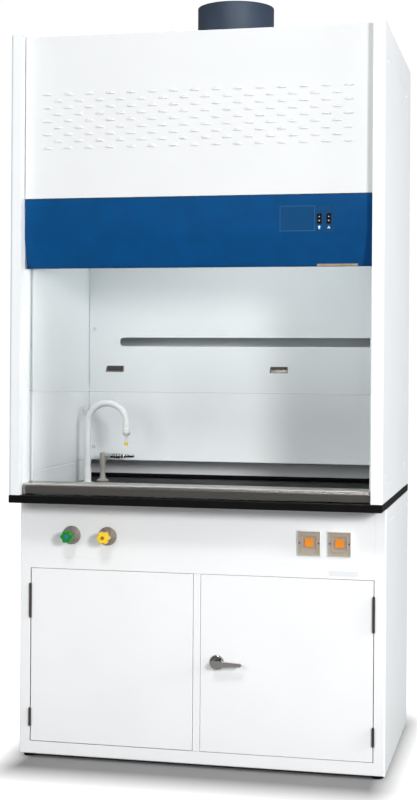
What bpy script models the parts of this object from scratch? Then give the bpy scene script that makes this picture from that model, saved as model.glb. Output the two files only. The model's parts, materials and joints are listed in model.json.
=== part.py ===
"""A bench fume hood on a two-door base cabinet.

Metres, +Z up, the front towards -Y, and the origin on the floor under the middle of the hood.
Depths are counted from the worktop's front edge towards the back.
"""
import math

import bmesh
import bpy
from mathutils import Matrix, Vector

# Whole object
WIDTH = 1.200
DEPTH = 0.880
HALF = WIDTH / 2
SHEET = 0.0015
GAP = 0.0003
ROUND = 32
SMALL_ROUND = 20

# Base cabinet
FOOT_HEIGHT = 0.012
FOOT_RADIUS = 0.020
CABINET_TOP = 0.8447
CABINET_SETBACK = 0.120
FRAME_FLANGE = 0.020
DOOR_HALF_WIDTH = 0.562
DOOR_BOTTOM = 0.055
DOOR_TOP = 0.6215
DOOR_THICKNESS = 0.018
HINGE_GAP = 0.0025
DOOR_GAP = 0.0015
POST_LEFT = -0.0150
POST_RIGHT = 0.0082
POST_DEPTH = 0.040
SERVICE_BOTTOM = 0.6615
SERVICE_TOP = 0.8265
SERVICE_FLANGE = 0.012

# Hinges of the doors
HINGE_RADIUS = 0.0045
HINGE_X = 0.5632
HINGE_FORWARD = 0.0052
LEAF = 0.0008
LEAF_DEPTH = 0.016
UPPER_HINGE = (0.461, 0.5157, 0.571)
LOWER_HINGE = (0.105, 0.1335)

# Lever handle
LEVER_X = 0.0636
LEVER_Z = 0.343
LEVER_LENGTH = 0.086
LEVER_FORWARD = 0.040
LEVER_THICKNESS = 0.011
SPINDLE_RADIUS = 0.0065
ROSETTE_RADIUS = 0.024
TONGUE_LENGTH = 0.060
TONGUE_THICKNESS = 0.003

# Controls and outlets of the service panel
KNOB_Z = 0.734
WATER_X = -0.424
GAS_X = -0.302
DISC_RADIUS = 0.030
VALVE_STEM = 0.005
VALVE_NECK = 0.0105
VALVE_HOLE = 0.011
KNOB_FRONT = 0.062
KNOB_THICKNESS = 0.026
KNOB_LOBES = 6
OUTLET_Z = 0.7335
OUTLET_X = (0.359, 0.4555)
OUTLET_SIZE = (0.074, 0.078, 0.009)
OUTLET_RECESS = (0.046, 0.046, 0.005)
OUTLET_BOX = (0.056, 0.056, 0.040)

# Worktop and its fittings
WORKTOP_BOTTOM = 0.845
WORKTOP_TOP = 0.870
ON_WORKTOP = WORKTOP_TOP + GAP
SPOUT_X = -0.488
SPOUT_DEPTH = 0.500
SPOUT_REACH = 0.141
SPOUT_TOP = 1.1575
SPOUT_RADIUS = 0.0095
SPOUT_FOOT = 0.925
SPOUT_END = 1.0635
SHANK_RADIUS = 0.009
TAP_X = -0.474
TAP_DEPTH = 0.640
TAP_Z = 0.9625
TAP_REACH = 0.117
CUP_X = SPOUT_X + SPOUT_REACH
CUP_HOLE = 0.0355

# Hood
HOOD_TOP = 2.350
SIDE_FACE = 0.564
POST_RETURN = 0.045
PANEL_SETBACK = 0.033
PANEL_BACK = 0.066
PANEL_HALF = 0.5615
PANEL_BOTTOM = 1.8245
PANEL_TOP = 2.3455
HEADER_TOP = 1.8225
HEADER_BEND = 1.697
HEADER_BOTTOM = 1.600
HEADER_BOTTOM_DEPTH = 0.058
ROOF_Z = 2.3445
CEILING_Z = 2.200
CEILING_BACK = 0.500
LINER_THICKNESS = 0.006
LINER_FACE = 0.550
LINER_FRONT = 0.089
LINER_BACK = 0.7135
BAFFLE_DEPTH = 0.715
BAFFLE_THICKNESS = 0.003
BAFFLE_BOTTOM = 0.943
BAFFLE_BEND = 1.950
BAFFLE_TOP = (0.520, 2.150)
SLOT_X = (-0.434, 0.497)
SLOT_Z = (1.357, 1.389)
COLLAR_DEPTH = 0.670
COLLAR_RADIUS = 0.135
COLLAR_TOP = 2.556
COLLAR_WALL = 0.002
COLLAR_FLANGE = 0.158
SILL_HALF = 0.5585
SILL_BETWEEN_TRACKS = 0.5545
LAMP_HALF = 0.340
LAMP_DEPTHS = (0.250, 0.370)
LAMP_TOP = 2.265

# Rocker switches of the header
SWITCH_X = (0.3967, 0.4265)
SWITCH_Z = 1.747
SWITCH_PIVOT = 0.036
SWITCH_HALF_WIDTH = 0.0060
SWITCH_HOLE = (0.0065, 0.0148)

# Sash, its tracks, cables and counterweights
TRACK_FRONT = 0.069
TRACK_BACK = 0.0895
TRACK_WEB = 0.5905
TRACK_FACE = 0.5552
JAMB_FACE = 0.557
JAMB_FRONT = 0.0468
JAMB_TOP = 1.598
TRACK_TOP = 2.220
GLASS_HALF = 0.566
GLASS_FRONT = 0.076
GLASS_BACK = 0.082
GLASS_BOTTOM = 1.204
GLASS_TOP = 1.900
RAIL_HALF = 0.5835
RAIL_DEPTHS = (0.072, 0.0866)
RAIL_Z = (1.885, 1.9153)
PULL_X = 0.2666
PULL_WIDTH = 0.055
CABLE_X = 0.578
CABLE_RADIUS = 0.0015
PULLEY_DEPTH = 0.124
PULLEY_Z = 2.285
CABLE_WRAP = 0.045
PULLEY_RIM = 0.050
PULLEY_WIDTH = 0.010
PULLEY_BORE = 0.0063
STUD_RADIUS = 0.006
WEIGHT_X = (0.5655, 0.5905)
WEIGHT_DEPTHS = (0.139, 0.199)
WEIGHT_Z = (1.340, 1.900)

SIDES = (("left", -1), ("right", 1))

MATERIALS = {
    "white_paint": ((0.90, 0.91, 0.92), 0.35, 0.0),
    "white_liner": ((0.74, 0.77, 0.78), 0.45, 0.0),
    "blue_paint": ((0.0, 0.075, 0.20), 0.35, 0.0),
    "slate_paint": ((0.045, 0.065, 0.10), 0.45, 0.0),
    "black_resin": ((0.006, 0.005, 0.005), 0.30, 0.0),
    "black_plastic": ((0.01, 0.01, 0.01), 0.45, 0.0),
    "stainless": ((0.62, 0.60, 0.57), 0.25, 1.0),
    "chrome": ((0.75, 0.75, 0.75), 0.10, 1.0),
    "dark_steel": ((0.10, 0.095, 0.09), 0.40, 1.0),
    "galvanised": ((0.45, 0.46, 0.47), 0.45, 1.0),
    "grey_coat": ((0.70, 0.71, 0.70), 0.35, 0.0),
    "green_plastic": ((0.004, 0.19, 0.02), 0.35, 0.0),
    "yellow_plastic": ((0.90, 0.60, 0.02), 0.35, 0.0),
    "beige_plastic": ((0.38, 0.32, 0.26), 0.45, 0.0),
    "glass": ((0.85, 0.93, 0.92), 0.05, 0.0),
    "lamp_glass": ((0.95, 0.95, 0.92), 0.30, 0.0),
}


def back(depth):
    """Y of a depth counted from the worktop's front edge."""
    return depth - DEPTH / 2


FRONT = back(0)
REAR = back(DEPTH)
CABINET = back(CABINET_SETBACK)


def start_scene():
    for obj in list(bpy.data.objects):
        bpy.data.objects.remove(obj, do_unlink=True)
    made = []
    for name in ("fume_hood", "cutters"):
        collection = bpy.data.collections.new(name)
        bpy.context.scene.collection.children.link(collection)
        made.append(collection)
    return made


PARTS, CUTTERS = start_scene()


def material(name):
    found = bpy.data.materials.get(name)
    if found:
        return found
    colour, roughness, metallic = MATERIALS[name]
    made = bpy.data.materials.new(name)
    made.use_nodes = True
    shader = made.node_tree.nodes["Principled BSDF"]
    shader.inputs["Base Color"].default_value = (*colour, 1.0)
    shader.inputs["Roughness"].default_value = roughness
    shader.inputs["Metallic"].default_value = metallic
    return made


def place(obj, name, finish):
    """Name an object and file it with the parts, or with the cutters when it has no finish."""
    obj.name = name
    obj.data.name = name
    for collection in list(obj.users_collection):
        collection.objects.unlink(obj)
    if finish is None:
        CUTTERS.objects.link(obj)
        obj.hide_render = True
        obj.display_type = "WIRE"
        return obj
    PARTS.objects.link(obj)
    obj.data.materials.clear()
    obj.data.materials.append(material(finish))
    return obj


def set_origin(obj, point):
    """Move an unturned object's origin without moving its shape."""
    shift = Vector(point) - obj.location
    obj.data.transform(Matrix.Translation(-shift))
    obj.location = point
    return obj


def box(name, x, y, z, finish=None):
    centre = [(low + high) / 2 for low, high in (x, y, z)]
    bpy.ops.mesh.primitive_cube_add(size=1, location=centre)
    obj = bpy.context.object
    obj.scale = [high - low for low, high in (x, y, z)]
    bpy.ops.object.transform_apply(location=False, rotation=False, scale=True)
    return place(obj, name, finish)


PLANES = {
    "plan": Matrix(((1, 0, 0), (0, 1, 0), (0, 0, 1))),
    "side": Matrix(((0, 0, 1), (1, 0, 0), (0, 1, 0))),
    "front": Matrix(((1, 0, 0), (0, 0, -1), (0, 1, 0))),
}


def curve_to_mesh(curve_object, name):
    """Make a filled curve one welded mesh in world space."""
    bpy.context.view_layer.update()
    evaluated = curve_object.evaluated_get(bpy.context.evaluated_depsgraph_get())
    mesh = bpy.data.meshes.new_from_object(evaluated)
    mesh.transform(curve_object.matrix_world)
    bpy.data.objects.remove(curve_object, do_unlink=True)
    shape = bmesh.new()
    shape.from_mesh(mesh)
    bmesh.ops.remove_doubles(shape, verts=shape.verts, dist=0.00001)
    bmesh.ops.recalc_face_normals(shape, faces=shape.faces)
    shape.to_mesh(mesh)
    shape.free()
    obj = bpy.data.objects.new(name, mesh)
    bpy.context.scene.collection.objects.link(obj)
    return obj


def outline(name, points, plane, low, high, finish=None):
    """A flat outline given thickness from low to high across its plane."""
    curve = bpy.data.curves.new(name, "CURVE")
    curve.dimensions = "2D"
    curve.fill_mode = "BOTH"
    curve.extrude = (high - low) / 2
    spline = curve.splines.new("POLY")
    spline.points.add(len(points) - 1)
    for point, (a, b) in zip(spline.points, points):
        point.co = (a, b, 0, 1)
    spline.use_cyclic_u = True
    obj = bpy.data.objects.new(name, curve)
    bpy.context.scene.collection.objects.link(obj)
    turn = PLANES[plane]
    middle = (low + high) / 2
    across = {"plan": (0, 0, middle), "side": (middle, 0, 0), "front": (0, middle, 0)}[plane]
    obj.matrix_world = Matrix.Translation(across) @ turn.to_4x4()
    return place(curve_to_mesh(obj, name), name, finish)


def folded(path, thickness):
    """The outline of a bent sheet: the path, and back along it offset to its left."""
    points = [Vector(point) for point in path]
    steps = [(b - a).normalized() for a, b in zip(points, points[1:])]
    normals = [Vector((-step.y, step.x)) for step in steps]
    inner = [points[0] + normals[0] * thickness]
    for point, before, after in zip(points[1:-1], normals, normals[1:]):
        mitre = (before + after).normalized()
        inner.append(point + mitre * (thickness / mitre.dot(after)))
    inner.append(points[-1] + normals[-1] * thickness)
    return [tuple(point) for point in points + inner[::-1]]


def depth_path(path):
    """Turn (depth, z) pairs into (y, z)."""
    return [(back(depth), z) for depth, z in path]


def mirrored(points, sign):
    return [(sign * x, y) for x, y in points]


def turned(name, profile, centre, turn=(0, 0, 0), finish=None, ring=False, steps=ROUND):
    """Spin (radius, height) points, given down the outer side, round a local Z through the centre."""
    mesh = bpy.data.meshes.new(name)
    vertices = [(radius, 0, height) for radius, height in profile]
    edges = [(i, i + 1) for i in range(len(profile) - 1)]
    if ring:
        edges.append((len(profile) - 1, 0))
    mesh.from_pydata(vertices, edges, [])
    obj = bpy.data.objects.new(name, mesh)
    bpy.context.scene.collection.objects.link(obj)
    obj.location = centre
    obj.rotation_euler = turn
    screw = obj.modifiers.new("spin", "SCREW")
    screw.angle = math.tau
    screw.steps = steps
    screw.render_steps = steps
    screw.use_merge_vertices = True
    screw.merge_threshold = 0.00001
    screw.use_smooth_shade = True
    return place(obj, name, finish)


def rod(name, radius, low, high, centre, turn=(0, 0, 0), finish=None, steps=SMALL_ROUND):
    return turned(name, [(0, high), (radius, high), (radius, low), (0, low)], centre, turn, finish, steps=steps)


TO_FRONT = (math.pi / 2, 0, 0)
TO_RIGHT = (0, math.pi / 2, 0)


def combine(obj, other, operation):
    boolean = obj.modifiers.new(operation.lower(), "BOOLEAN")
    boolean.operation = operation
    boolean.solver = "EXACT"
    boolean.object = other
    return obj


def cut(obj, *others):
    for other in others:
        combine(obj, other, "DIFFERENCE")
    return obj


def join(obj, *others):
    for other in others:
        combine(obj, other, "UNION")
    return obj


def pan(name, x, y, z, finish, sheet=SHEET):
    """A sheet with all four edges folded back: open towards +Y."""
    shell = box(name, x, y, z, finish)
    hollow = box(name + "_hollow", (x[0] + sheet, x[1] - sheet), (y[0] + sheet, y[1] + 0.01),
                 (z[0] + sheet, z[1] - sheet))
    return cut(shell, hollow)


def tube(name, points, radius, finish=None, resolution=3):
    curve = bpy.data.curves.new(name, "CURVE")
    curve.dimensions = "3D"
    curve.bevel_depth = radius
    curve.bevel_resolution = resolution
    curve.use_fill_caps = True
    spline = curve.splines.new("POLY")
    spline.points.add(len(points) - 1)
    for point, place_at in zip(spline.points, points):
        point.co = (*place_at, 1)
    obj = bpy.data.objects.new(name, curve)
    bpy.context.scene.collection.objects.link(obj)
    return place(curve_to_mesh(obj, name), name, finish)


# ---------------------------------------------------------------- base cabinet

def base_feet():
    for row, depth in (("front", CABINET_SETBACK + 0.031), ("rear", DEPTH - 0.045)):
        for side, sign in SIDES:
            rod(f"foot_{row}_{side}", FOOT_RADIUS, 0, FOOT_HEIGHT - GAP,
                (sign * (HALF - 0.026), back(depth), 0), finish="black_plastic")


def base_shell():
    flange = 0.030
    for side, sign in SIDES:
        path = [(HALF - flange, REAR - SHEET), (HALF - flange, REAR), (HALF, REAR),
                (HALF, CABINET + FRAME_FLANGE + GAP), (HALF - SHEET, CABINET + FRAME_FLANGE + GAP),
                (HALF - SHEET, REAR - SHEET)]
        outline(f"base_{side}_side", mirrored(path, sign), "plan", FOOT_HEIGHT, CABINET_TOP, "white_paint")
    inside = HALF - SHEET - GAP
    box("base_back_panel", (-inside, inside), (REAR - 2 * SHEET - GAP, REAR - SHEET - GAP),
        (FOOT_HEIGHT + 2 * SHEET, CABINET_TOP), "white_paint")
    box("base_floor_panel", (-inside, inside), (CABINET + FRAME_FLANGE + GAP, REAR - SHEET - GAP),
        (FOOT_HEIGHT + GAP, FOOT_HEIGHT + GAP + SHEET), "white_paint")


def base_front():
    through = (CABINET - 0.01, CABINET + 0.05)
    frame = pan("base_face_frame", (-HALF, HALF), (CABINET, CABINET + FRAME_FLANGE),
                (FOOT_HEIGHT, CABINET_TOP), "white_paint")
    wide = DOOR_HALF_WIDTH + HINGE_GAP
    door_opening = box("door_opening", (-wide, wide), through,
                       (DOOR_BOTTOM - DOOR_GAP, DOOR_TOP + DOOR_GAP))
    service_opening = box("service_opening", (-wide, wide), through,
                          (SERVICE_BOTTOM - DOOR_GAP, SERVICE_TOP + DOOR_GAP))
    cut(frame, door_opening, service_opening)
    post = [(POST_LEFT, CABINET + POST_DEPTH), (POST_LEFT, CABINET),
            (POST_RIGHT, CABINET), (POST_RIGHT, CABINET + POST_DEPTH)]
    outline("door_centre_post", folded(post, SHEET), "plan", DOOR_BOTTOM - 0.0010,
            DOOR_TOP + 0.0010, "white_paint")


def service_panel():
    panel = pan("service_panel", (-DOOR_HALF_WIDTH, DOOR_HALF_WIDTH), (CABINET, CABINET + SERVICE_FLANGE),
                (SERVICE_BOTTOM, SERVICE_TOP), "white_paint")
    for place_x in (WATER_X, GAS_X):
        cut(panel, rod("valve_hole", VALVE_HOLE, -0.02, 0.02, (place_x, CABINET, KNOB_Z), TO_FRONT))
    half_x, half_z = OUTLET_BOX[0] / 2 + 0.001, OUTLET_BOX[1] / 2 + 0.001
    for place_x in OUTLET_X:
        cut(panel, box("outlet_hole", (place_x - half_x, place_x + half_x), (CABINET - 0.01, CABINET + 0.01),
                       (OUTLET_Z - half_z, OUTLET_Z + half_z)))


def valves_and_knobs():
    for name, place_x, finish in (("water", WATER_X, "green_plastic"), ("gas", GAS_X, "yellow_plastic")):
        centre = (place_x, CABINET, KNOB_Z)
        profile = [(0, 0.048), (VALVE_STEM, 0.048), (VALVE_STEM, 0.012), (0.012, 0.010), (0.022, 0.007),
                   (DISC_RADIUS, 0.0045), (DISC_RADIUS, GAP), (VALVE_NECK, GAP), (VALVE_NECK, -SHEET - GAP),
                   (0.018, -SHEET - GAP), (0.018, -0.045), (0.009, -0.048), (0.009, -0.070), (0, -0.070)]
        turned(f"{name}_valve", profile, centre, TO_FRONT, "stainless")
        count = KNOB_LOBES * 8
        lobes = []
        for step in range(count):
            angle = math.tau * step / count
            radius = 0.0190 + 0.0022 * math.cos(KNOB_LOBES * angle)
            lobes.append((place_x + radius * math.cos(angle), KNOB_Z + radius * math.sin(angle)))
        front = CABINET - KNOB_FRONT
        knob = outline(f"{name}_knob", lobes, "front", front, front + KNOB_THICKNESS, finish)
        cut(knob, rod("knob_bore", VALVE_STEM + GAP, 0, 0.048 + GAP, centre, TO_FRONT))
        set_origin(knob, centre)


def outlets():
    for side, place_x in zip(("left", "right"), OUTLET_X):
        half_x, half_z = OUTLET_SIZE[0] / 2, OUTLET_SIZE[1] / 2
        front = CABINET - GAP - OUTLET_SIZE[2]
        plate = box(f"outlet_{side}", (place_x - half_x, place_x + half_x), (front, CABINET - GAP),
                    (OUTLET_Z - half_z, OUTLET_Z + half_z), "beige_plastic")
        half_x, half_z = OUTLET_BOX[0] / 2, OUTLET_BOX[1] / 2
        join(plate, box("outlet_box", (place_x - half_x, place_x + half_x),
                        (CABINET - 0.002, CABINET + OUTLET_BOX[2]), (OUTLET_Z - half_z, OUTLET_Z + half_z)))
        half_x, half_z = OUTLET_RECESS[0] / 2, OUTLET_RECESS[1] / 2
        cut(plate, box("outlet_recess", (place_x - half_x, place_x + half_x),
                       (front - 0.01, front + OUTLET_RECESS[2]), (OUTLET_Z - half_z, OUTLET_Z + half_z)))


def doors():
    y = (CABINET, CABINET + DOOR_THICKNESS)
    z = (DOOR_BOTTOM, DOOR_TOP)
    left = pan("left_door", (-DOOR_HALF_WIDTH, POST_LEFT - DOOR_GAP), y, z, "white_paint")
    right = pan("right_door", (POST_RIGHT + DOOR_GAP, DOOR_HALF_WIDTH), y, z, "white_paint")
    cut(right, rod("spindle_hole", SPINDLE_RADIUS + 0.001, -0.02, 0.02, (LEVER_X, CABINET, LEVER_Z), TO_FRONT))
    for door, sign in ((left, -1), (right, 1)):
        set_origin(door, (sign * HINGE_X, CABINET - HINGE_FORWARD, DOOR_BOTTOM))


def hinge_half(name, sign, z, on_door):
    """A knuckle with its leaf, which runs back through the gap beside the door."""
    axis = (sign * HINGE_X, CABINET - HINGE_FORWARD, 0)
    knuckle = rod(name, HINGE_RADIUS, z[0], z[1], axis, finish="dark_steel")
    near = HINGE_X - 0.0001 - LEAF if on_door else HINGE_X + 0.0002
    xs = sorted((sign * near, sign * (near + LEAF)))
    leaf = box(name + "_leaf", xs, (axis[1], axis[1] + LEAF_DEPTH), (z[0] + 0.002, z[1] - 0.002))
    return join(knuckle, leaf)


def hinges():
    for side, sign in SIDES:
        low, middle, high = UPPER_HINGE
        hinge_half(f"{side}_upper_hinge_frame_half", sign, (low, middle), False)
        hinge_half(f"{side}_upper_hinge_door_half", sign, (middle + GAP, high), True)
        hinge_half(f"{side}_lower_hinge_frame_half", sign, LOWER_HINGE, False)


def lever():
    centre = (LEVER_X, CABINET, LEVER_Z)
    hole = SPINDLE_RADIUS + 0.0005
    rosette = turned("lever_rosette", [(hole, 0.009), (0.020, 0.009), (ROSETTE_RADIUS, 0.006),
                                       (ROSETTE_RADIUS, GAP), (hole, GAP)], centre, TO_FRONT, "chrome", ring=True)
    join(rosette, rod("key_cylinder", 0.0055, 0.003, 0.012, (LEVER_X + 0.0125, CABINET, LEVER_Z + 0.0125), TO_FRONT))
    handle = rod("lever_handle", SPINDLE_RADIUS, -0.0445, LEVER_FORWARD - 0.002, centre, TO_FRONT, "chrome")
    root, tip = 0.0105, 0.0055
    arm = []
    for step in range(13):
        angle = math.pi / 2 + math.pi * step / 12
        arm.append((LEVER_X + root * math.cos(angle), LEVER_Z + root * math.sin(angle)))
    for step in range(9):
        angle = -math.pi / 2 + math.pi * step / 8
        arm.append((LEVER_X + LEVER_LENGTH - tip + tip * math.cos(angle), LEVER_Z + tip * math.sin(angle)))
    front = CABINET - LEVER_FORWARD
    join(handle, outline("lever_arm", arm, "front", front, front + LEVER_THICKNESS))
    back_face = CABINET + 0.0445
    join(handle, box("lever_tongue", (LEVER_X - 0.009, LEVER_X + 0.009), (back_face - TONGUE_THICKNESS, back_face),
                     (LEVER_Z - TONGUE_LENGTH, LEVER_Z + 0.010)))


# ---------------------------------------------------------------- worktop and fittings

def worktop():
    top = box("worktop", (-HALF, HALF), (FRONT, REAR), (WORKTOP_BOTTOM, WORKTOP_TOP), "black_resin")
    middle = (WORKTOP_BOTTOM + WORKTOP_TOP) / 2
    holes = ((SPOUT_X, SPOUT_DEPTH, SHANK_RADIUS + 0.0005), (TAP_X, TAP_DEPTH, SHANK_RADIUS + 0.0005),
             (CUP_X, SPOUT_DEPTH, CUP_HOLE))
    for place_x, depth, radius in holes:
        cut(top, rod("worktop_hole", radius, -0.03, 0.03, (place_x, back(depth), middle)))


def drip_cup():
    rim, outer, inner, drain = 0.045, 0.0345, 0.0325, 0.012
    profile = [(inner, 0.003), (rim, 0.003), (rim, 0), (outer, 0), (outer, -0.070), (drain, -0.074),
               (drain, -0.110), (drain - 0.002, -0.110), (drain - 0.002, -0.072), (inner, -0.068)]
    turned("drip_cup", profile, (CUP_X, back(SPOUT_DEPTH), ON_WORKTOP), finish="black_plastic", ring=True)


def gooseneck():
    foot = (SPOUT_X, back(SPOUT_DEPTH), 0)
    profile = [(0, SPOUT_FOOT), (0.0125, SPOUT_FOOT), (0.0125, 0.884), (0.024, 0.878), (0.024, ON_WORKTOP),
               (SHANK_RADIUS, ON_WORKTOP), (SHANK_RADIUS, 0.815), (0, 0.815)]
    turned("gooseneck_base", profile, foot, finish="grey_coat", steps=24)
    bend = SPOUT_REACH / 2
    points = [(SPOUT_X, foot[1], SPOUT_FOOT + GAP)]
    for step in range(17):
        angle = math.pi - math.pi * step / 16
        points.append((SPOUT_X + bend + bend * math.cos(angle), foot[1], SPOUT_TOP - bend + bend * math.sin(angle)))
    points.append((CUP_X, foot[1], SPOUT_END - 0.005))
    spout = tube("gooseneck_spout", points, SPOUT_RADIUS, "grey_coat")
    nozzle = [(0, 1.066), (0.012, 1.066), (0.012, 1.046), (0.008, 1.043), (0.0065, 1.020), (0.0045, 1.018),
              (0.0040, 1.008), (0, 1.008)]
    join(spout, turned("spout_nozzle", nozzle, (CUP_X, foot[1], 0)))
    set_origin(spout, foot)


def gas_tap():
    base = (TAP_X, back(TAP_DEPTH), 0)
    profile = [(0, 0.974), (0.011, 0.972), (0.011, 0.948), (0.009, 0.940), (0.009, 0.884), (0.022, 0.877),
               (0.022, ON_WORKTOP), (SHANK_RADIUS, ON_WORKTOP), (SHANK_RADIUS, 0.815), (0, 0.815)]
    tap = turned("gas_tap", profile, base, finish="grey_coat", steps=24)
    barbs = [(0, TAP_REACH), (0.0045, TAP_REACH)]
    for start in (0.100, 0.088, 0.076, 0.064):
        barbs += [(0.0075, start), (0.0055, start - 0.001)]
    barbs += [(0.0085, 0.060), (0.0085, 0), (0, 0)]
    join(tap, turned("tap_nozzle", barbs, (TAP_X, base[1], TAP_Z), TO_RIGHT, steps=24))


# ---------------------------------------------------------------- hood

def hood_sides():
    return_end = back(POST_RETURN)
    for side, sign in SIDES:
        path = [(SIDE_FACE, return_end), (SIDE_FACE, FRONT), (HALF, FRONT), (HALF, REAR),
                (HALF - 0.030, REAR), (HALF - 0.030, REAR - SHEET), (HALF - SHEET, REAR - SHEET),
                (HALF - SHEET, FRONT + SHEET), (SIDE_FACE + SHEET, FRONT + SHEET), (SIDE_FACE + SHEET, return_end)]
        skin = outline(f"hood_{side}_side", mirrored(path, sign), "plan", ON_WORKTOP, HOOD_TOP, "white_paint")
        xs = sorted((sign * SIDE_FACE, sign * HALF))
        join(skin, box("post_cap", xs, (FRONT, back(PANEL_BACK)), (HOOD_TOP - SHEET, HOOD_TOP)))
        ends = sorted((sign * (HALF - SHEET / 2), sign * 0.571))
        join(skin, rod("pulley_stud", STUD_RADIUS, ends[0], ends[1], (0, back(PULLEY_DEPTH), PULLEY_Z), TO_RIGHT))


def hood_skins():
    inside = HALF - SHEET - GAP
    box("hood_back_panel", (-inside, inside), (REAR - 2 * SHEET - GAP, REAR - SHEET - GAP),
        (ON_WORKTOP, ROOF_Z - GAP), "white_paint")
    roof = box("roof_panel", (-inside, inside), (back(PANEL_BACK) + GAP, REAR - SHEET - GAP),
               (ROOF_Z, ROOF_Z + SHEET), "white_paint")
    cut(roof, rod("collar_hole", COLLAR_RADIUS - COLLAR_WALL - 0.0005, -0.02, 0.02,
                  (0, back(COLLAR_DEPTH), ROOF_Z), steps=ROUND * 2))
    pan("front_panel", (-PANEL_HALF, PANEL_HALF), (back(PANEL_SETBACK), back(PANEL_BACK)),
        (PANEL_BOTTOM, PANEL_TOP), "white_paint")


def header():
    path = [(PANEL_BACK, HEADER_TOP), (PANEL_SETBACK, HEADER_TOP), (PANEL_SETBACK, HEADER_BEND),
            (HEADER_BOTTOM_DEPTH, HEADER_BOTTOM), (0.068, HEADER_BOTTOM + 0.001)]
    shell = outline("header", folded(depth_path(path), SHEET), "side", -PANEL_HALF, PANEL_HALF, "blue_paint")
    for place_x in SWITCH_X:
        cut(shell, box("switch_hole", (place_x - SWITCH_HOLE[0], place_x + SWITCH_HOLE[0]),
                       (back(PANEL_SETBACK - 0.01), back(PANEL_SETBACK + 0.01)),
                       (SWITCH_Z - SWITCH_HOLE[1], SWITCH_Z + SWITCH_HOLE[1])))


def switches():
    rocker = [(-0.0085, 0.0125), (-0.0049, 0.0), (-0.0050, -0.0125), (0.006, -0.008), (0.006, 0.008)]
    for name, place_x in zip(("light_switch", "fan_switch"), SWITCH_X):
        points = [(back(SWITCH_PIVOT) + y, SWITCH_Z + z) for y, z in rocker]
        switch = outline(name, points, "side", place_x - SWITCH_HALF_WIDTH, place_x + SWITCH_HALF_WIDTH,
                         "black_plastic")
        set_origin(switch, (place_x, back(SWITCH_PIVOT), SWITCH_Z))


def chamber():
    for side, sign in SIDES:
        xs = sorted((sign * LINER_FACE, sign * (LINER_FACE + LINER_THICKNESS)))
        box(f"{side}_liner", xs, (back(LINER_FRONT), back(LINER_BACK)), (ON_WORKTOP, CEILING_Z - SHEET - GAP),
            "white_liner")
    path = [(LINER_FRONT + 0.0015, CEILING_Z), (CEILING_BACK, CEILING_Z), (CEILING_BACK, ROOF_Z - GAP)]
    half = LINER_FACE + LINER_THICKNESS
    ceiling = outline("ceiling_panel", folded(depth_path(path), SHEET), "side", -half, half, "white_liner")
    cut(ceiling, box("lamp_opening", (-LAMP_HALF + 0.01, LAMP_HALF - 0.01),
                     (back(LAMP_DEPTHS[0] + 0.01), back(LAMP_DEPTHS[1] - 0.01)), (2.19, 2.21)))
    path = [(BAFFLE_DEPTH, BAFFLE_BOTTOM), (BAFFLE_DEPTH, BAFFLE_BEND), BAFFLE_TOP]
    sheet = folded(depth_path(path)[::-1], BAFFLE_THICKNESS)
    between = LINER_FACE - GAP
    baffle = outline("baffle", sheet, "side", -between, between, "white_liner")
    radius = (SLOT_Z[1] - SLOT_Z[0]) / 2
    slot = []
    for centre, start in ((SLOT_X[1] - radius, -math.pi / 2), (SLOT_X[0] + radius, math.pi / 2)):
        for step in range(13):
            angle = start + math.pi * step / 12
            slot.append((centre + radius * math.cos(angle), sum(SLOT_Z) / 2 + radius * math.sin(angle)))
    cut(baffle, outline("baffle_slot", slot, "front", back(BAFFLE_DEPTH - 0.01), back(BAFFLE_DEPTH + 0.01)))


def lamp():
    low, high = LAMP_DEPTHS
    bottom = CEILING_Z + SHEET + GAP
    housing = box("lamp_housing", (-LAMP_HALF, LAMP_HALF), (back(low), back(high)), (bottom, LAMP_TOP), "white_paint")
    cut(housing, box("lamp_hollow", (-LAMP_HALF + SHEET, LAMP_HALF - SHEET), (back(low) + SHEET, back(high) - SHEET),
                     (bottom - 0.01, LAMP_TOP - SHEET)))
    end = LAMP_HALF - SHEET - GAP
    rod("lamp_tube", 0.013, -end, end, (0, back((low + high) / 2), 2.235), TO_RIGHT, "lamp_glass")


def exhaust_collar():
    outer, inner = COLLAR_RADIUS, COLLAR_RADIUS - COLLAR_WALL
    base = ROOF_Z + SHEET + GAP
    profile = [(inner, COLLAR_TOP), (outer, COLLAR_TOP), (outer, base + 0.002), (COLLAR_FLANGE, base + 0.002),
               (COLLAR_FLANGE, base), (inner, base)]
    turned("exhaust_collar", profile, (0, back(COLLAR_DEPTH), 0), finish="slate_paint", ring=True, steps=ROUND * 2)


def airfoil_sill():
    path = [(0.085, 0.8745), (0.087, 0.906), (0.083, 0.9115), (0.072, 0.9120), (0.032, 0.9050), (0.026, 0.9015),
            (0.024, 0.8960), (0.024, 0.8745)]
    sill = outline("airfoil_sill", folded(depth_path(path), 0.002), "side", -SILL_HALF, SILL_HALF, "stainless")
    for _, sign in SIDES:
        xs = sorted((sign * SILL_BETWEEN_TRACKS, sign * (SILL_HALF + 0.01)))
        cut(sill, box("track_notch", xs, (back(POST_RETURN) - GAP, back(0.1)), (0.86, 0.92)))


# ---------------------------------------------------------------- sash

def sash_tracks():
    for side, sign in SIDES:
        path = [(TRACK_FACE, back(TRACK_FRONT)), (TRACK_WEB, back(TRACK_FRONT)), (TRACK_WEB, back(TRACK_BACK)),
                (JAMB_FACE, back(TRACK_BACK))]
        track = outline(f"{side}_sash_track", mirrored(folded(path, SHEET), sign), "plan", ON_WORKTOP, TRACK_TOP,
                        "white_liner")
        path = [(SIDE_FACE + SHEET, back(JAMB_FRONT)), (JAMB_FACE, back(JAMB_FRONT)),
                (JAMB_FACE, back(TRACK_FRONT) + SHEET / 2)]
        join(track, outline("jamb", mirrored(folded(path, SHEET), sign), "plan", ON_WORKTOP, JAMB_TOP))


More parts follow.
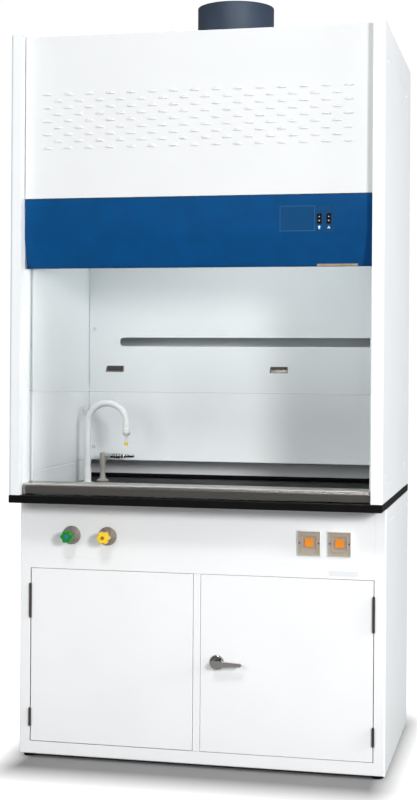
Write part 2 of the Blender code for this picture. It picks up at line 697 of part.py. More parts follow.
def sash():
    box("sash_glass", (-GLASS_HALF, GLASS_HALF), (back(GLASS_FRONT), back(GLASS_BACK)), (GLASS_BOTTOM, GLASS_TOP),
        "glass")
    rail = box("sash_top_rail", (-RAIL_HALF, RAIL_HALF), (back(RAIL_DEPTHS[0]), back(RAIL_DEPTHS[1])), RAIL_Z,
               "galvanised")
    half = GLASS_HALF + GAP
    cut(rail, box("glass_groove", (-half, half), (back(GLASS_FRONT) - GAP, back(GLASS_BACK) + GAP),
                  (RAIL_Z[0] - 0.01, GLASS_TOP + GAP)))
    face = GLASS_FRONT - GAP
    path = [(face, 1.2880), (face, 1.2765), (0.0560, 1.2680)]
    for side, sign in SIDES:
        middle = sign * PULL_X
        outline(f"sash_pull_{side}", folded(depth_path(path)[::-1], 0.002), "side", middle - PULL_WIDTH / 2,
                middle + PULL_WIDTH / 2, "stainless")


def counterweights():
    for side, sign in SIDES:
        xs = sorted((sign * WEIGHT_X[0], sign * WEIGHT_X[1]))
        box(f"{side}_counterweight", xs, (back(WEIGHT_DEPTHS[0]), back(WEIGHT_DEPTHS[1])), WEIGHT_Z, "dark_steel")
        centre = (sign * CABLE_X, back(PULLEY_DEPTH), PULLEY_Z)
        half = PULLEY_WIDTH / 2
        groove = CABLE_WRAP - CABLE_RADIUS - GAP
        profile = [(PULLEY_BORE, half), (PULLEY_RIM, half), (PULLEY_RIM, 0.0038), (groove + 0.002, 0.0024),
                   (groove, 0.001), (groove, -0.001), (groove + 0.002, -0.0024), (PULLEY_RIM, -0.0038),
                   (PULLEY_RIM, -half), (PULLEY_BORE, -half)]
        turned(f"{side}_pulley", profile, centre, TO_RIGHT, "black_plastic", ring=True)
        points = [(centre[0], back(PULLEY_DEPTH - CABLE_WRAP), RAIL_Z[1] + GAP)]
        for step in range(17):
            angle = math.pi - math.pi * step / 16
            points.append((centre[0], centre[1] + CABLE_WRAP * math.cos(angle), PULLEY_Z + CABLE_WRAP * math.sin(angle)))
        points.append((centre[0], back(PULLEY_DEPTH + CABLE_WRAP), WEIGHT_Z[1] + GAP))
        tube(f"{side}_sash_cable", points, CABLE_RADIUS, "galvanised", resolution=2)


def build():
    base_feet()
    base_shell()
    base_front()
    service_panel()
    valves_and_knobs()
    outlets()
    doors()
    hinges()
    lever()
    worktop()
    drip_cup()
    gooseneck()
    gas_tap()
    hood_sides()
    hood_skins()
    header()
    switches()
    chamber()
    lamp()
    exhaust_collar()
    airfoil_sill()
    sash_tracks()
    sash()
    counterweights()


build()
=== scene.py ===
"""A bench fume hood with a sliding sash: fine edges, louvres, fittings and finishes, in a plain studio.

Metres, +Z up, the front towards -Y. Places come from the frame's own nodes.
"""
import json
import math
from contextlib import contextmanager

import bpy
from mathutils import Matrix, Vector


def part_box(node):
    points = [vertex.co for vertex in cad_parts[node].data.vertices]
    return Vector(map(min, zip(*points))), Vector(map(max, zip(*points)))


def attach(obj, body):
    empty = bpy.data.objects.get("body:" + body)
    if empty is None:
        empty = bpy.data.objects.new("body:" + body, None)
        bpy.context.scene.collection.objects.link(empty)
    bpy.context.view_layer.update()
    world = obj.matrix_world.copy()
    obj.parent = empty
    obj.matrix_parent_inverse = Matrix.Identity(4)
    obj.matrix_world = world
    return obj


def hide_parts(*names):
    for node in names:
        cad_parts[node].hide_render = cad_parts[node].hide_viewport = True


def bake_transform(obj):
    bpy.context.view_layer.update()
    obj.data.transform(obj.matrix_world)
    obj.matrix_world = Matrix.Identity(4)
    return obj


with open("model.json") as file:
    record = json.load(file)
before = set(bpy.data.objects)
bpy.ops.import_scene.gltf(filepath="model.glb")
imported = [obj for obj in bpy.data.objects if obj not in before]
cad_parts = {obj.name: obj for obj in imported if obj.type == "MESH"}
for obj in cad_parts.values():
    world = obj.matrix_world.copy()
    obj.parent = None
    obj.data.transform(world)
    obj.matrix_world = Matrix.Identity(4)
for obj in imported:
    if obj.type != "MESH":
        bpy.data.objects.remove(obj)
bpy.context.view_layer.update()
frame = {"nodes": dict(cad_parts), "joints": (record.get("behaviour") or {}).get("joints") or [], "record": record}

NODES = frame["nodes"]
BODY_OF = {node: body for body, nodes in frame["record"]["behaviour"]["bodies"].items() for node in nodes}
JOINTS = {joint["name"]: joint for joint in frame["joints"]}
HOOD = "cabinet_and_hood"
SASH = "sash"

SHEET = 0.0015
LIFT = 0.0004
SEAM = 0.0016
ACCESS_SEAM = 0.0028
DUST_COLOUR = (0.55, 0.53, 0.50, 1.0)


def node_box(node):
    low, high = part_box(node)
    return Vector(low), Vector(high)


# ---------------------------------------------------------------- finishes

def socket(group, name, kind, into=True, value=None):
    made = group.interface.new_socket(name=name, in_out="INPUT" if into else "OUTPUT", socket_type=kind)
    if value is not None:
        made.default_value = value


def new_group(name):
    group = bpy.data.node_groups.new(name, "ShaderNodeTree")
    start = group.nodes.new("NodeGroupInput")
    end = group.nodes.new("NodeGroupOutput")
    return group, start, end


def noise(tree, vector, scale, detail):
    node = tree.nodes.new("ShaderNodeTexNoise")
    node.inputs["Detail"].default_value = detail
    tree.links.new(vector, node.inputs["Vector"])
    feed(tree, scale, node.inputs["Scale"])
    return node.outputs["Fac"]


def spread(tree, value, low, high):
    """Stretch the range from low to high over 0 to 1."""
    node = tree.nodes.new("ShaderNodeMapRange")
    node.inputs["From Min"].default_value = low
    node.inputs["From Max"].default_value = high
    tree.links.new(value, node.inputs["Value"])
    return node.outputs["Result"]


def feed(tree, value, into):
    """Set a plain value on a socket, or link what changes over the surface to it."""
    if isinstance(value, bpy.types.NodeSocket):
        tree.links.new(value, into)
    else:
        into.default_value = value


def calculate(tree, operation, a, b):
    node = tree.nodes.new("ShaderNodeMath")
    node.operation = operation
    feed(tree, a, node.inputs[0])
    feed(tree, b, node.inputs[1])
    return node.outputs[0]


def mix_colours(tree, factor, a, b):
    node = tree.nodes.new("ShaderNodeMix")
    node.data_type = "RGBA"
    feed(tree, factor, node.inputs["Factor"])
    feed(tree, a, node.inputs["A"])
    feed(tree, b, node.inputs["B"])
    return node.outputs["Result"]


def make_tone_group():
    """Uneven colour: cloudy patches between a finish's two shades."""
    group, start, end = new_group("uneven_tone")
    socket(group, "Vector", "NodeSocketVector")
    socket(group, "Colour", "NodeSocketColor")
    socket(group, "Second Colour", "NodeSocketColor")
    socket(group, "Scale", "NodeSocketFloat", value=6.0)
    socket(group, "Amount", "NodeSocketFloat", value=0.5)
    socket(group, "Colour", "NodeSocketColor", into=False)
    patches = spread(group, noise(group, start.outputs["Vector"], start.outputs["Scale"], 5.0), 0.35, 0.68)
    amount = calculate(group, "MULTIPLY", patches, start.outputs["Amount"])
    mixed = mix_colours(group, amount, start.outputs["Colour"], start.outputs["Second Colour"])
    group.links.new(mixed, end.inputs["Colour"])
    return group


def make_texture_group():
    """Fine surface: grain stretched along an axis by its vector, as a normal and a roughness."""
    group, start, end = new_group("fine_texture")
    socket(group, "Vector", "NodeSocketVector")
    socket(group, "Scale", "NodeSocketFloat", value=900.0)
    socket(group, "Height", "NodeSocketFloat", value=0.1)
    socket(group, "Roughness", "NodeSocketFloat", value=0.4)
    socket(group, "Roughness Spread", "NodeSocketFloat", value=0.05)
    socket(group, "Normal", "NodeSocketVector", into=False)
    socket(group, "Roughness", "NodeSocketFloat", into=False)
    grain = noise(group, start.outputs["Vector"], start.outputs["Scale"], 2.0)
    bump = group.nodes.new("ShaderNodeBump")
    bump.inputs["Distance"].default_value = 0.0004
    group.links.new(start.outputs["Height"], bump.inputs["Strength"])
    group.links.new(grain, bump.inputs["Height"])
    group.links.new(bump.outputs["Normal"], end.inputs["Normal"])
    smear = noise(group, start.outputs["Vector"], 9.0, 4.0)
    centred = calculate(group, "SUBTRACT", calculate(group, "ADD", grain, smear), 1.0)
    offset = calculate(group, "MULTIPLY", centred, start.outputs["Roughness Spread"])
    group.links.new(calculate(group, "ADD", start.outputs["Roughness"], offset), end.inputs["Roughness"])
    return group


def make_dust_group():
    """A little dust on what faces up."""
    group, start, end = new_group("dust")
    socket(group, "Vector", "NodeSocketVector")
    socket(group, "Colour", "NodeSocketColor")
    socket(group, "Amount", "NodeSocketFloat", value=0.2)
    socket(group, "Colour", "NodeSocketColor", into=False)
    geometry = group.nodes.new("ShaderNodeNewGeometry")
    split = group.nodes.new("ShaderNodeSeparateXYZ")
    group.links.new(geometry.outputs["Normal"], split.inputs["Vector"])
    upward = spread(group, split.outputs["Z"], 0.4, 1.0)
    speck = spread(group, noise(group, start.outputs["Vector"], 160.0, 6.0), 0.50, 0.75)
    mask = calculate(group, "MULTIPLY", calculate(group, "MULTIPLY", upward, speck), start.outputs["Amount"])
    dusted = mix_colours(group, mask, start.outputs["Colour"], DUST_COLOUR)
    group.links.new(dusted, end.inputs["Colour"])
    return group


TONE = make_tone_group()
TEXTURE = make_texture_group()
DUST = make_dust_group()


def srgb(code):
    """A colour written as six hex digits, made linear."""
    values = [int(code[i:i + 2], 16) / 255 for i in (0, 2, 4)]
    return tuple(((v + 0.055) / 1.055) ** 2.4 if v > 0.04045 else v / 12.92 for v in values) + (1.0,)


def place_group(tree, group, **values):
    node = tree.nodes.new("ShaderNodeGroup")
    node.node_tree = group
    for name, value in values.items():
        node.inputs[name.replace("_", " ")].default_value = value
    return node


def finish(name, colour, second, roughness, metallic=0.0, tone=(5.0, 0.5), grain=(900.0, 0.08), uneven=0.06,
           stretch=(1, 1, 1), dust=0.0, specular=0.5):
    """A painted, moulded or metal finish: two shades, a fine grain, uneven gloss and dust."""
    material = bpy.data.materials.new(name)
    material.use_nodes = True
    tree = material.node_tree
    shader = tree.nodes["Principled BSDF"]
    place = tree.nodes.new("ShaderNodeTexCoord")
    mapping = tree.nodes.new("ShaderNodeMapping")
    mapping.inputs["Scale"].default_value = stretch
    tree.links.new(place.outputs["Object"], mapping.inputs["Vector"])
    toned = place_group(tree, TONE, Colour=srgb(colour), Second_Colour=srgb(second), Scale=tone[0],
                        Amount=tone[1])
    tree.links.new(mapping.outputs["Vector"], toned.inputs["Vector"])
    dusted = place_group(tree, DUST, Amount=dust)
    tree.links.new(place.outputs["Object"], dusted.inputs["Vector"])
    tree.links.new(toned.outputs["Colour"], dusted.inputs["Colour"])
    tree.links.new(dusted.outputs["Colour"], shader.inputs["Base Color"])
    fine = place_group(tree, TEXTURE, Scale=grain[0], Height=grain[1], Roughness=roughness,
                       Roughness_Spread=uneven)
    tree.links.new(mapping.outputs["Vector"], fine.inputs["Vector"])
    tree.links.new(fine.outputs["Normal"], shader.inputs["Normal"])
    tree.links.new(fine.outputs["Roughness"], shader.inputs["Roughness"])
    shader.inputs["Metallic"].default_value = metallic
    shader.inputs["Specular IOR Level"].default_value = specular
    return material


def clear_glass(name, colour, alpha, roughness):
    material = finish(name, colour, colour, roughness, tone=(3.0, 0.4), grain=(4.0, 0.01), uneven=0.01)
    tree = material.node_tree
    shader = tree.nodes["Principled BSDF"]
    tree.links.remove(shader.inputs["Base Color"].links[0])
    shader.inputs["Base Color"].default_value = srgb(colour)
    shader.inputs["Alpha"].default_value = alpha
    return material


WHITE = finish("white_powder_coat", "f3f4f5", "eceff0", 0.42, grain=(1400.0, 0.10), dust=0.05)
# The front panel's white coat, darker than the same white paint elsewhere: painted shade over the panel and its
# louvres.
SHADED_PANEL_WHITE = finish("panel_coat_painted_shade", "dfe1e2", "dadcdd", 0.42, grain=(1400.0, 0.10), dust=0.05)
# The white coat of the sides, back panels and roof, darker than the same white paint on the front: painted shade.
SHADED_SIDE_WHITE = finish("side_coat_painted_shade", "e9ecee", "e3e8e9", 0.44, grain=(1400.0, 0.10), dust=0.05)
LINER = finish("white_liner_board", "e9edee", "e2e7e8", 0.38, tone=(3.0, 0.6), grain=(700.0, 0.04))
BLUE = finish("blue_powder_coat", "01457a", "013f6e", 0.45, tone=(14.0, 0.7), grain=(1300.0, 0.12),
              specular=0.15)
FILM = finish("blue_control_film", "044270", "033d68", 0.30, tone=(30.0, 0.5), grain=(500.0, 0.02),
              specular=0.3)
SLATE = finish("slate_moulding", "333f4f", "2b3644", 0.50, tone=(9.0, 0.8), grain=(400.0, 0.10), dust=0.2)
RESIN = finish("black_epoxy_resin", "0a0909", "131110", 0.34, tone=(25.0, 0.6), grain=(260.0, 0.06),
               uneven=0.10, dust=0.03, specular=0.2)
PLASTIC = finish("black_plastic", "0a0a0a", "121212", 0.42, tone=(40.0, 0.5), grain=(1800.0, 0.20),
                 specular=0.3)
STEEL = finish("brushed_stainless", "b3aea8", "a39d97", 0.22, 1.0, tone=(60.0, 0.4), grain=(900.0, 0.10),
               uneven=0.05, stretch=(0.02, 1, 1))
DISC = finish("dull_nickel", "a89f96", "8b8178", 0.50, 0.45, tone=(160.0, 0.8), grain=(900.0, 0.35),
              uneven=0.2)
# A near-white metal for the rod along the sill's bend: a painted highlight line on the stainless crest.
HEM_HIGHLIGHT = finish("hem_painted_highlight", "f5f3f0", "e9e6e1", 0.20, 0.4, tone=(60.0, 0.4), grain=(300.0, 0.02))
CHROME = finish("polished_chrome", "cfcdca", "b9b5b1", 0.10, 1.0, tone=(30.0, 0.5), grain=(300.0, 0.03),
                uneven=0.05)
DARK = finish("oiled_dark_steel", "5b5653", "47423f", 0.42, 0.8, tone=(90.0, 0.8), grain=(1200.0, 0.3),
              uneven=0.2)
ZINC = finish("zinc_plate", "b4b7b8", "9ea2a4", 0.42, 1.0, tone=(45.0, 0.9), grain=(900.0, 0.12), uneven=0.2)
COATED = finish("grey_tap_coating", "d9dddc", "cfd4d3", 0.34, tone=(20.0, 0.5), grain=(900.0, 0.08))
TAP_GREY = finish("dark_tap_coating", "9a9793", "8b8783", 0.36, tone=(30.0, 0.6), grain=(900.0, 0.10))
GREEN = finish("green_knob_plastic", "0a8a2c", "087427", 0.36, tone=(50.0, 0.6), grain=(1500.0, 0.15))
YELLOW = finish("yellow_knob_plastic", "f6d02c", "ecc324", 0.36, tone=(50.0, 0.6), grain=(1500.0, 0.15))
CAP_BLUE = finish("blue_index_cap", "3b6ea8", "315f95", 0.35, tone=(60.0, 0.5))
CAP_BROWN = finish("brown_index_cap", "9a6b2c", "855a24", 0.35, tone=(60.0, 0.5))
BEIGE = finish("socket_plate_beige", "ab9f90", "9d9182", 0.42, tone=(60.0, 0.6), grain=(1500.0, 0.15))
ORANGE = finish("orange_insert", "f5962c", "e8871f", 0.38, tone=(60.0, 0.6), grain=(1500.0, 0.15))
INK = finish("white_ink", "eef2f4", "e2e8ea", 0.5, tone=(60.0, 0.4))
FILM_LINE = finish("pale_blue_line", "2f6b9c", "2a6494", 0.4, tone=(60.0, 0.4))
LABEL = finish("bronze_label", "c2ad95", "9c866e", 0.35, 0.3, tone=(220.0, 0.9))
FAINT_LABEL = finish("pale_label", "e3e7e9", "dde1e3", 0.35, tone=(60.0, 0.4))
SHADE = finish("unlit_hollow", "15181a", "101214", 0.8, tone=(30.0, 0.4))
GASKET = finish("grey_gasket", "8f9799", "848c8e", 0.6, tone=(40.0, 0.5))
GLASS = clear_glass("sash_glass", "a9bcbc", 0.06, 0.04)
GLASS_EDGE = finish("polished_glass_edge", "a9bbb6", "9db1ab", 0.15, tone=(30.0, 0.5))
TUBE = finish("frosted_tube", "f4f5f0", "ecefe8", 0.3, tone=(30.0, 0.3))


# ---------------------------------------------------------------- modelling helpers

def only(obj):
    bpy.ops.object.select_all(action="DESELECT")
    obj.select_set(True)
    bpy.context.view_layer.objects.active = obj


@contextmanager
def editing(obj, mode="FACE", everything=False):
    only(obj)
    bpy.context.tool_settings.mesh_select_mode = [mode == kind for kind in ("VERT", "EDGE", "FACE")]
    bpy.ops.object.mode_set(mode="EDIT")
    if everything:
        bpy.ops.mesh.select_all(action="SELECT")
    yield
    bpy.ops.object.mode_set(mode="OBJECT")


def unpick(mesh):
    for part in (mesh.vertices, mesh.edges, mesh.polygons):
        part.foreach_set("select", [False] * len(part))


def pick_faces(obj, test):
    unpick(obj.data)
    for face in obj.data.polygons:
        face.select = bool(test(face.center, face.normal))


def pick_edges(obj, test):
    """Select the edges whose two ends pass the test."""
    mesh = obj.data
    unpick(mesh)
    for edge in mesh.edges:
        a, b = (mesh.vertices[i].co for i in edge.vertices)
        edge.select = bool(test(a, b))


def bevel_picked(obj, test, width, segments=4):
    pick_edges(obj, test)
    with editing(obj, "EDGE"):
        bpy.ops.mesh.bevel(offset=width, segments=segments, affect="EDGES", clamp_overlap=True)


def modified(obj, kind, **settings):
    modifier = obj.modifiers.new("change", kind)
    for name, value in settings.items():
        setattr(modifier, name, value)
    only(obj)
    bpy.ops.object.modifier_apply(modifier=modifier.name)
    return obj


def soften(obj, width, segments=2, angle=30):
    return modified(obj, "BEVEL", width=width, segments=segments, limit_method="ANGLE",
                    angle_limit=math.radians(angle))


def smooth(obj, angle=35):
    only(obj)
    bpy.ops.object.shade_smooth_by_angle(angle=math.radians(angle))
    return obj


def cut_with(obj, *cutters):
    for cutter in cutters:
        modified(obj, "BOOLEAN", operation="DIFFERENCE", solver="EXACT", object=cutter)
        bpy.data.objects.remove(cutter, do_unlink=True)
    return obj


def joined(name, pieces):
    bpy.ops.object.select_all(action="DESELECT")
    for piece in pieces:
        piece.select_set(True)
    bpy.context.view_layer.objects.active = pieces[0]
    bpy.ops.object.join()
    pieces[0].name = name
    return pieces[0]


def repeated(name, first, places):
    """One piece made of copies of the first at each place."""
    copies = []
    for place in places:
        mesh = first.data.copy()
        mesh.transform(Matrix.Translation(place))
        copy = bpy.data.objects.new(name, mesh)
        bpy.context.scene.collection.objects.link(copy)
        copies.append(copy)
    bpy.data.objects.remove(first, do_unlink=True)
    return joined(name, copies)


def coat(obj, material):
    obj.data.materials.clear()
    obj.data.materials.append(material)


def dress(obj, material, body=HOOD, nodes=()):
    """Give a finished piece its material and its body, and hide the nodes that it stands for.

    The large flat faces set the shading across their rounded edges.
    """
    coat(modified(obj, "WEIGHTED_NORMAL", keep_sharp=True, weight=100), material)
    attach(obj, body)
    if nodes:
        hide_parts(*nodes)
    return obj


def stand_for(obj, material, node):
    """Dress a piece that takes one node's place and body, and hide that node."""
    return dress(obj, material, BODY_OF[node], [node])


def settle():
    """Move the active object's own place, turn and size into its points."""
    bpy.ops.object.transform_apply(location=True, rotation=True, scale=True)


def added(name, shape, **values):
    bpy.ops.object.select_all(action="DESELECT")
    shape(**values)
    bpy.context.object.name = name
    settle()
    return bpy.context.object


def block(name, low, high):
    centre = [(a + b) / 2 for a, b in zip(low, high)]
    size = [b - a for a, b in zip(low, high)]
    return added(name, bpy.ops.mesh.primitive_cube_add, size=1, location=centre, scale=size)


def turn_to(obj, centre, turn):
    obj.matrix_world = Matrix.Translation(centre) @ turn.to_4x4() @ obj.matrix_world
    only(obj)
    settle()
    return obj


UPRIGHT = Matrix.Identity(3)
TO_FRONT = Matrix.Rotation(math.pi / 2, 3, "X")
TO_RIGHT = Matrix.Rotation(math.pi / 2, 3, "Y")


def disc(name, sides, radius, centre):
    bpy.ops.object.select_all(action="DESELECT")
    bpy.ops.mesh.primitive_circle_add(vertices=sides, radius=radius, fill_type="NGON", location=centre)
    obj = bpy.context.object
    obj.name = name
    return obj


def closed_up():
    """In edit mode: merge doubles and turn every face outwards."""
    bpy.ops.mesh.select_all(action="SELECT")
    bpy.ops.mesh.remove_doubles(threshold=0.00001)
    bpy.ops.mesh.normals_make_consistent(inside=False)


def built_up(name, steps, centre, turn=UPRIGHT, sides=40):
    """A piece grown from a flat polygon: each (radius, height) extrudes the last face and scales it."""
    radius, height = steps[0]
    obj = disc(name, sides, radius, (0, 0, height))
    with editing(obj, everything=True):
        for next_radius, next_height in steps[1:]:
            bpy.ops.mesh.extrude_region_move(TRANSFORM_OT_translate={"value": (0, 0, next_height - height)})
            factor = next_radius / radius
            bpy.ops.transform.resize(value=(factor, factor, 1), center_override=(0, 0, next_height))
            radius, height = next_radius, next_height
        bpy.ops.mesh.select_all(action="SELECT")
        bpy.ops.mesh.normals_make_consistent(inside=False)
    settle()
    return smooth(turn_to(obj, centre, turn))


def node_copy(node, name=None):
    """A merged copy of a node's mesh, to be refined."""
    source = NODES[node]
    obj = bpy.data.objects.new(name or node + "_shell", source.data.copy())
    bpy.context.scene.collection.objects.link(obj)
    with editing(obj, everything=True):
        bpy.ops.mesh.remove_doubles(threshold=0.00001)
        bpy.ops.mesh.dissolve_limited(angle_limit=math.radians(0.5))
    return obj


def refined(node, material, width=0.0005, segments=2, angle=30, smooth_angle=35):
    """A node's shape with its edges rounded."""
    return stand_for(smooth(soften(node_copy(node), width, segments, angle), smooth_angle), material, node)


def screw_head(name, centre, turn=TO_FRONT, radius=0.0045, height=0.0022):
    """A pan head with a cross recess."""
    head = built_up(name, [(radius, 0), (radius, height * 0.5), (radius * 0.82, height * 0.9),
                           (radius * 0.45, height)], (0, 0, 0), sides=24)
    arm, wide = radius * 0.55, radius * 0.13
    for x, y in ((arm, wide), (wide, arm)):
        cut_with(head, block("slot", (-x, -y, height * 0.45), (x, y, height * 2)))
    return turn_to(smooth(head), centre, turn)


# ---------------------------------------------------------------- base cabinet

FRAME_LOW, FRAME_HIGH = node_box("base_face_frame")
CABINET = FRAME_LOW.y


def near(value, target, slack=0.0002):
    return abs(value - target) < slack


def front_rim(y):
    """Edges that lie in the front plane of a folded panel."""
    return lambda a, b: near(a.y, y) and near(b.y, y)


def folded_panel(node, material, radius=0.0014):
    """A folded sheet whose front edges have the fold's radius."""
    obj = node_copy(node)
    low = min(vertex.co.y for vertex in obj.data.vertices)
    bevel_picked(obj, front_rim(low), radius, 4)
    return stand_for(smooth(obj, 30), material, node)


def side_grooves(obj, sign, strips):
    """Shallow seams cut into the outside of a side: each strip is (y low, y high, z low, z high)."""
    outside = sign * FRAME_HIGH.x
    for y_low, y_high, z_low, z_high in strips:
        xs = sorted((outside - sign * 0.0011, outside + sign * 0.002))
        cut_with(obj, block("seam", (xs[0], y_low, z_low), (xs[1], y_high, z_high)))
    with editing(obj, everything=True):
        bpy.ops.mesh.remove_doubles(threshold=0.00005)
        bpy.ops.mesh.dissolve_limited(angle_limit=math.radians(0.5))
    return obj


def base_cabinet():
    for side, sign in (("left", -1), ("right", 1)):
        node = f"base_{side}_side"
        low, high = node_box(node)
        obj = node_copy(node)
        seam_z = high.z - 0.045
        side_grooves(obj, sign, [(low.y + 0.06, high.y - 0.012, seam_z, seam_z + SEAM)])
        # The side takes the darker copy of the white coat: painted shade.
        stand_for(smooth(soften(obj, 0.0005)), SHADED_SIDE_WHITE, node)
    for node in ("base_back_panel", "base_floor_panel"):
        refined(node, SHADED_SIDE_WHITE, 0.0003)
    back_screws("base_back_panel", 5, 4)
    frame_piece = node_copy("base_face_frame")
    bevel_picked(frame_piece, lambda a, b: near(a.y, CABINET) and near(b.y, CABINET) and
                 (near(abs(a.x), FRAME_HIGH.x) and near(abs(b.x), FRAME_HIGH.x)), 0.0035, 5)
    stand_for(smooth(soften(frame_piece, 0.0004), 30), WHITE, "base_face_frame")
    folded_panel("door_centre_post", WHITE, 0.0012)
    for row in ("front", "rear"):
        for side in ("left", "right"):
            foot(f"foot_{row}_{side}")


def foot(node):
    low, high = node_box(node)
    centre = ((low.x + high.x) / 2, (low.y + high.y) / 2, 0)
    radius, top = (high.x - low.x) / 2, high.z
    steps = [(radius - 0.003, 0), (radius - 0.0008, 0.0008), (radius, 0.003), (radius, 0.0055),
             (radius - 0.006, 0.0075), (0.0105, 0.0078), (0.0105, top)]
    stand_for(built_up(node + "_pad", steps, centre), PLASTIC, node)


def cabinet_doors():
    for side in ("left", "right"):
        folded_panel(f"{side}_door", WHITE, 0.0014)
    folded_panel("service_panel", WHITE, 0.0012)
    low, high = node_box("service_panel")
    reach = 0.004
    filler = block("service_panel_seal", (low.x - reach, low.y + 0.0007, low.z - reach),
                   (high.x + reach, low.y + 0.0012, high.z + reach))
    cut_with(filler, block("opening", (low.x + 0.001, low.y - 0.01, low.z + 0.001),
                           (high.x - 0.001, low.y + 0.01, high.z - 0.001)))
    dress(filler, WHITE)
    plate = block("rail_label", (0.4215, CABINET - 0.0005, 0.6325), (0.5130, CABINET + 0.0002, 0.6480))
    dress(soften(plate, 0.0002), FAINT_LABEL)


def knuckle(name, axis, low, high, body, cap_top):
    """A hinge barrel with a turned cap on its free end."""
    radius, edge = 0.0045, 0.0006
    steps = [(radius - edge, low), (radius, low + edge), (radius, high - edge), (radius - edge, high)]
    cap = [(radius * 0.62, 0.0), (radius * 0.55, 0.0022), (radius * 0.3, 0.0028)]
    if cap_top:
        steps += [(size, high + reach) for size, reach in cap]
    else:
        steps = [(size, low - reach) for size, reach in reversed(cap)] + steps
    dress(built_up(name, steps, axis, sides=28), DARK, body)


def hinge_barrels():
    gap = 0.0003
    for side, sign in (("left", -1), ("right", 1)):
        leaf = f"{side}_door_leaf"
        x, y, _ = JOINTS[f"{side}_door_hinge"]["pos_m"]
        for row, half in (("upper", "frame"), ("upper", "door"), ("lower", "frame")):
            node = f"{side}_{row}_hinge_{half}_half"
            low, high = node_box(node)
            knuckle(f"{side}_{row}_{half}_knuckle", (x, y, 0), low.z, high.z, BODY_OF[node], half == "door")
            refined(node, DARK, 0.0002)
        length = high.z - low.z
        start = high.z + gap
        knuckle(f"{side}_lower_door_knuckle", (x, y, 0), start, start + length, leaf, True)
        xs = sorted((x - sign * 0.0001, x - sign * 0.0009))
        strap = block(f"{side}_lower_door_leaf", (xs[0], y, high.z + 0.0023),
                      (xs[1], y + 0.016, high.z - 0.002 + length))
        dress(strap, DARK, leaf)


def lever_set():
    hub = tuple(JOINTS["door_lever_turn"]["pos_m"])
    steps = [(0.0240, 0.0004), (0.0240, 0.0045), (0.0225, 0.0070), (0.0190, 0.0086), (0.0125, 0.0092),
             (0.0105, 0.0098)]
    stand_for(built_up("lever_rose", steps, hub, TO_FRONT, 64), CHROME, "lever_rosette")
    key = (hub[0] + 0.0125, hub[1], hub[2] + 0.0125)
    cylinder = built_up("key_cylinder", [(0.0055, 0.003), (0.0055, 0.0112), (0.0048, 0.0120)], (0, 0, 0),
                        sides=32)
    cut_with(cylinder, block("keyway", (-0.0006, -0.0034, 0.0095), (0.0006, 0.0034, 0.02)))
    dress(turn_to(smooth(cylinder), key, TO_FRONT), CHROME, "right_door_leaf")
    low, high = node_box("lever_handle")
    handle = refined("lever_handle", CHROME, 0.0022, 4, 40, 50)
    handle.name = "lever_arm"
    tip = built_up("lever_tip", [(0.0030, -0.001), (0.0047, 0.0002), (0.0050, 0.0040), (0.0042, 0.0085),
                                 (0.0026, 0.0100)], (0, 0, 0), sides=24)
    turn_to(tip, (high.x - 0.0098, low.y + 0.0055, tip_height()), TO_RIGHT)
    dress(tip, PLASTIC, "door_lever")


def tip_height():
    """The height of the lever's far end, from its own points."""
    mesh = NODES["lever_handle"].data
    far = max(vertex.co.x for vertex in mesh.vertices)
    heights = [vertex.co.z for vertex in mesh.vertices if vertex.co.x > far - 0.004]
    return (min(heights) + max(heights)) / 2


# ---------------------------------------------------------------- controls and sockets

def valve_and_knob(name, colour, cap_colour, body):
    centre = tuple(JOINTS[f"{name}_knob_turn"]["pos_m"])
    steps = [(0.0300, 0.0004), (0.0300, 0.0030), (0.0290, 0.0042), (0.0150, 0.0062), (0.0130, 0.0086),
             (0.0120, 0.0120), (0.0070, 0.0126)]
    dress(built_up(f"{name}_disc", steps, centre, TO_FRONT, 64), DISC)
    coat(NODES[f"{name}_valve"], DISC)
    low, high = node_box(f"{name}_knob")
    knob = node_copy(f"{name}_knob", f"{name}_knob_grip")
    bevel_picked(knob, front_rim(low.y), 0.0034, 4)
    bevel_picked(knob, front_rim(high.y), 0.0012, 2)
    stand_for(smooth(knob, 50), colour, f"{name}_knob")
    front = centre[1] - low.y
    skirt = built_up(f"{name}_knob_skirt", [(0.0105, front - 0.0270), (0.0125, front - 0.0262),
                                            (0.0125, front - 0.0200)], centre, TO_FRONT, 32)
    cut_with(skirt, block("bore", (centre[0] - 0.0045, centre[1] - front, centre[2] - 0.0045),
                          (centre[0] + 0.0045, centre[1], centre[2] + 0.0045)))
    dress(skirt, colour, body)
    cap = built_up(f"{name}_knob_cap", [(0.0062, front - 0.0010), (0.0062, front + 0.0004),
                                        (0.0050, front + 0.0010)], centre, TO_FRONT, 32)
    dress(cap, cap_colour, body)


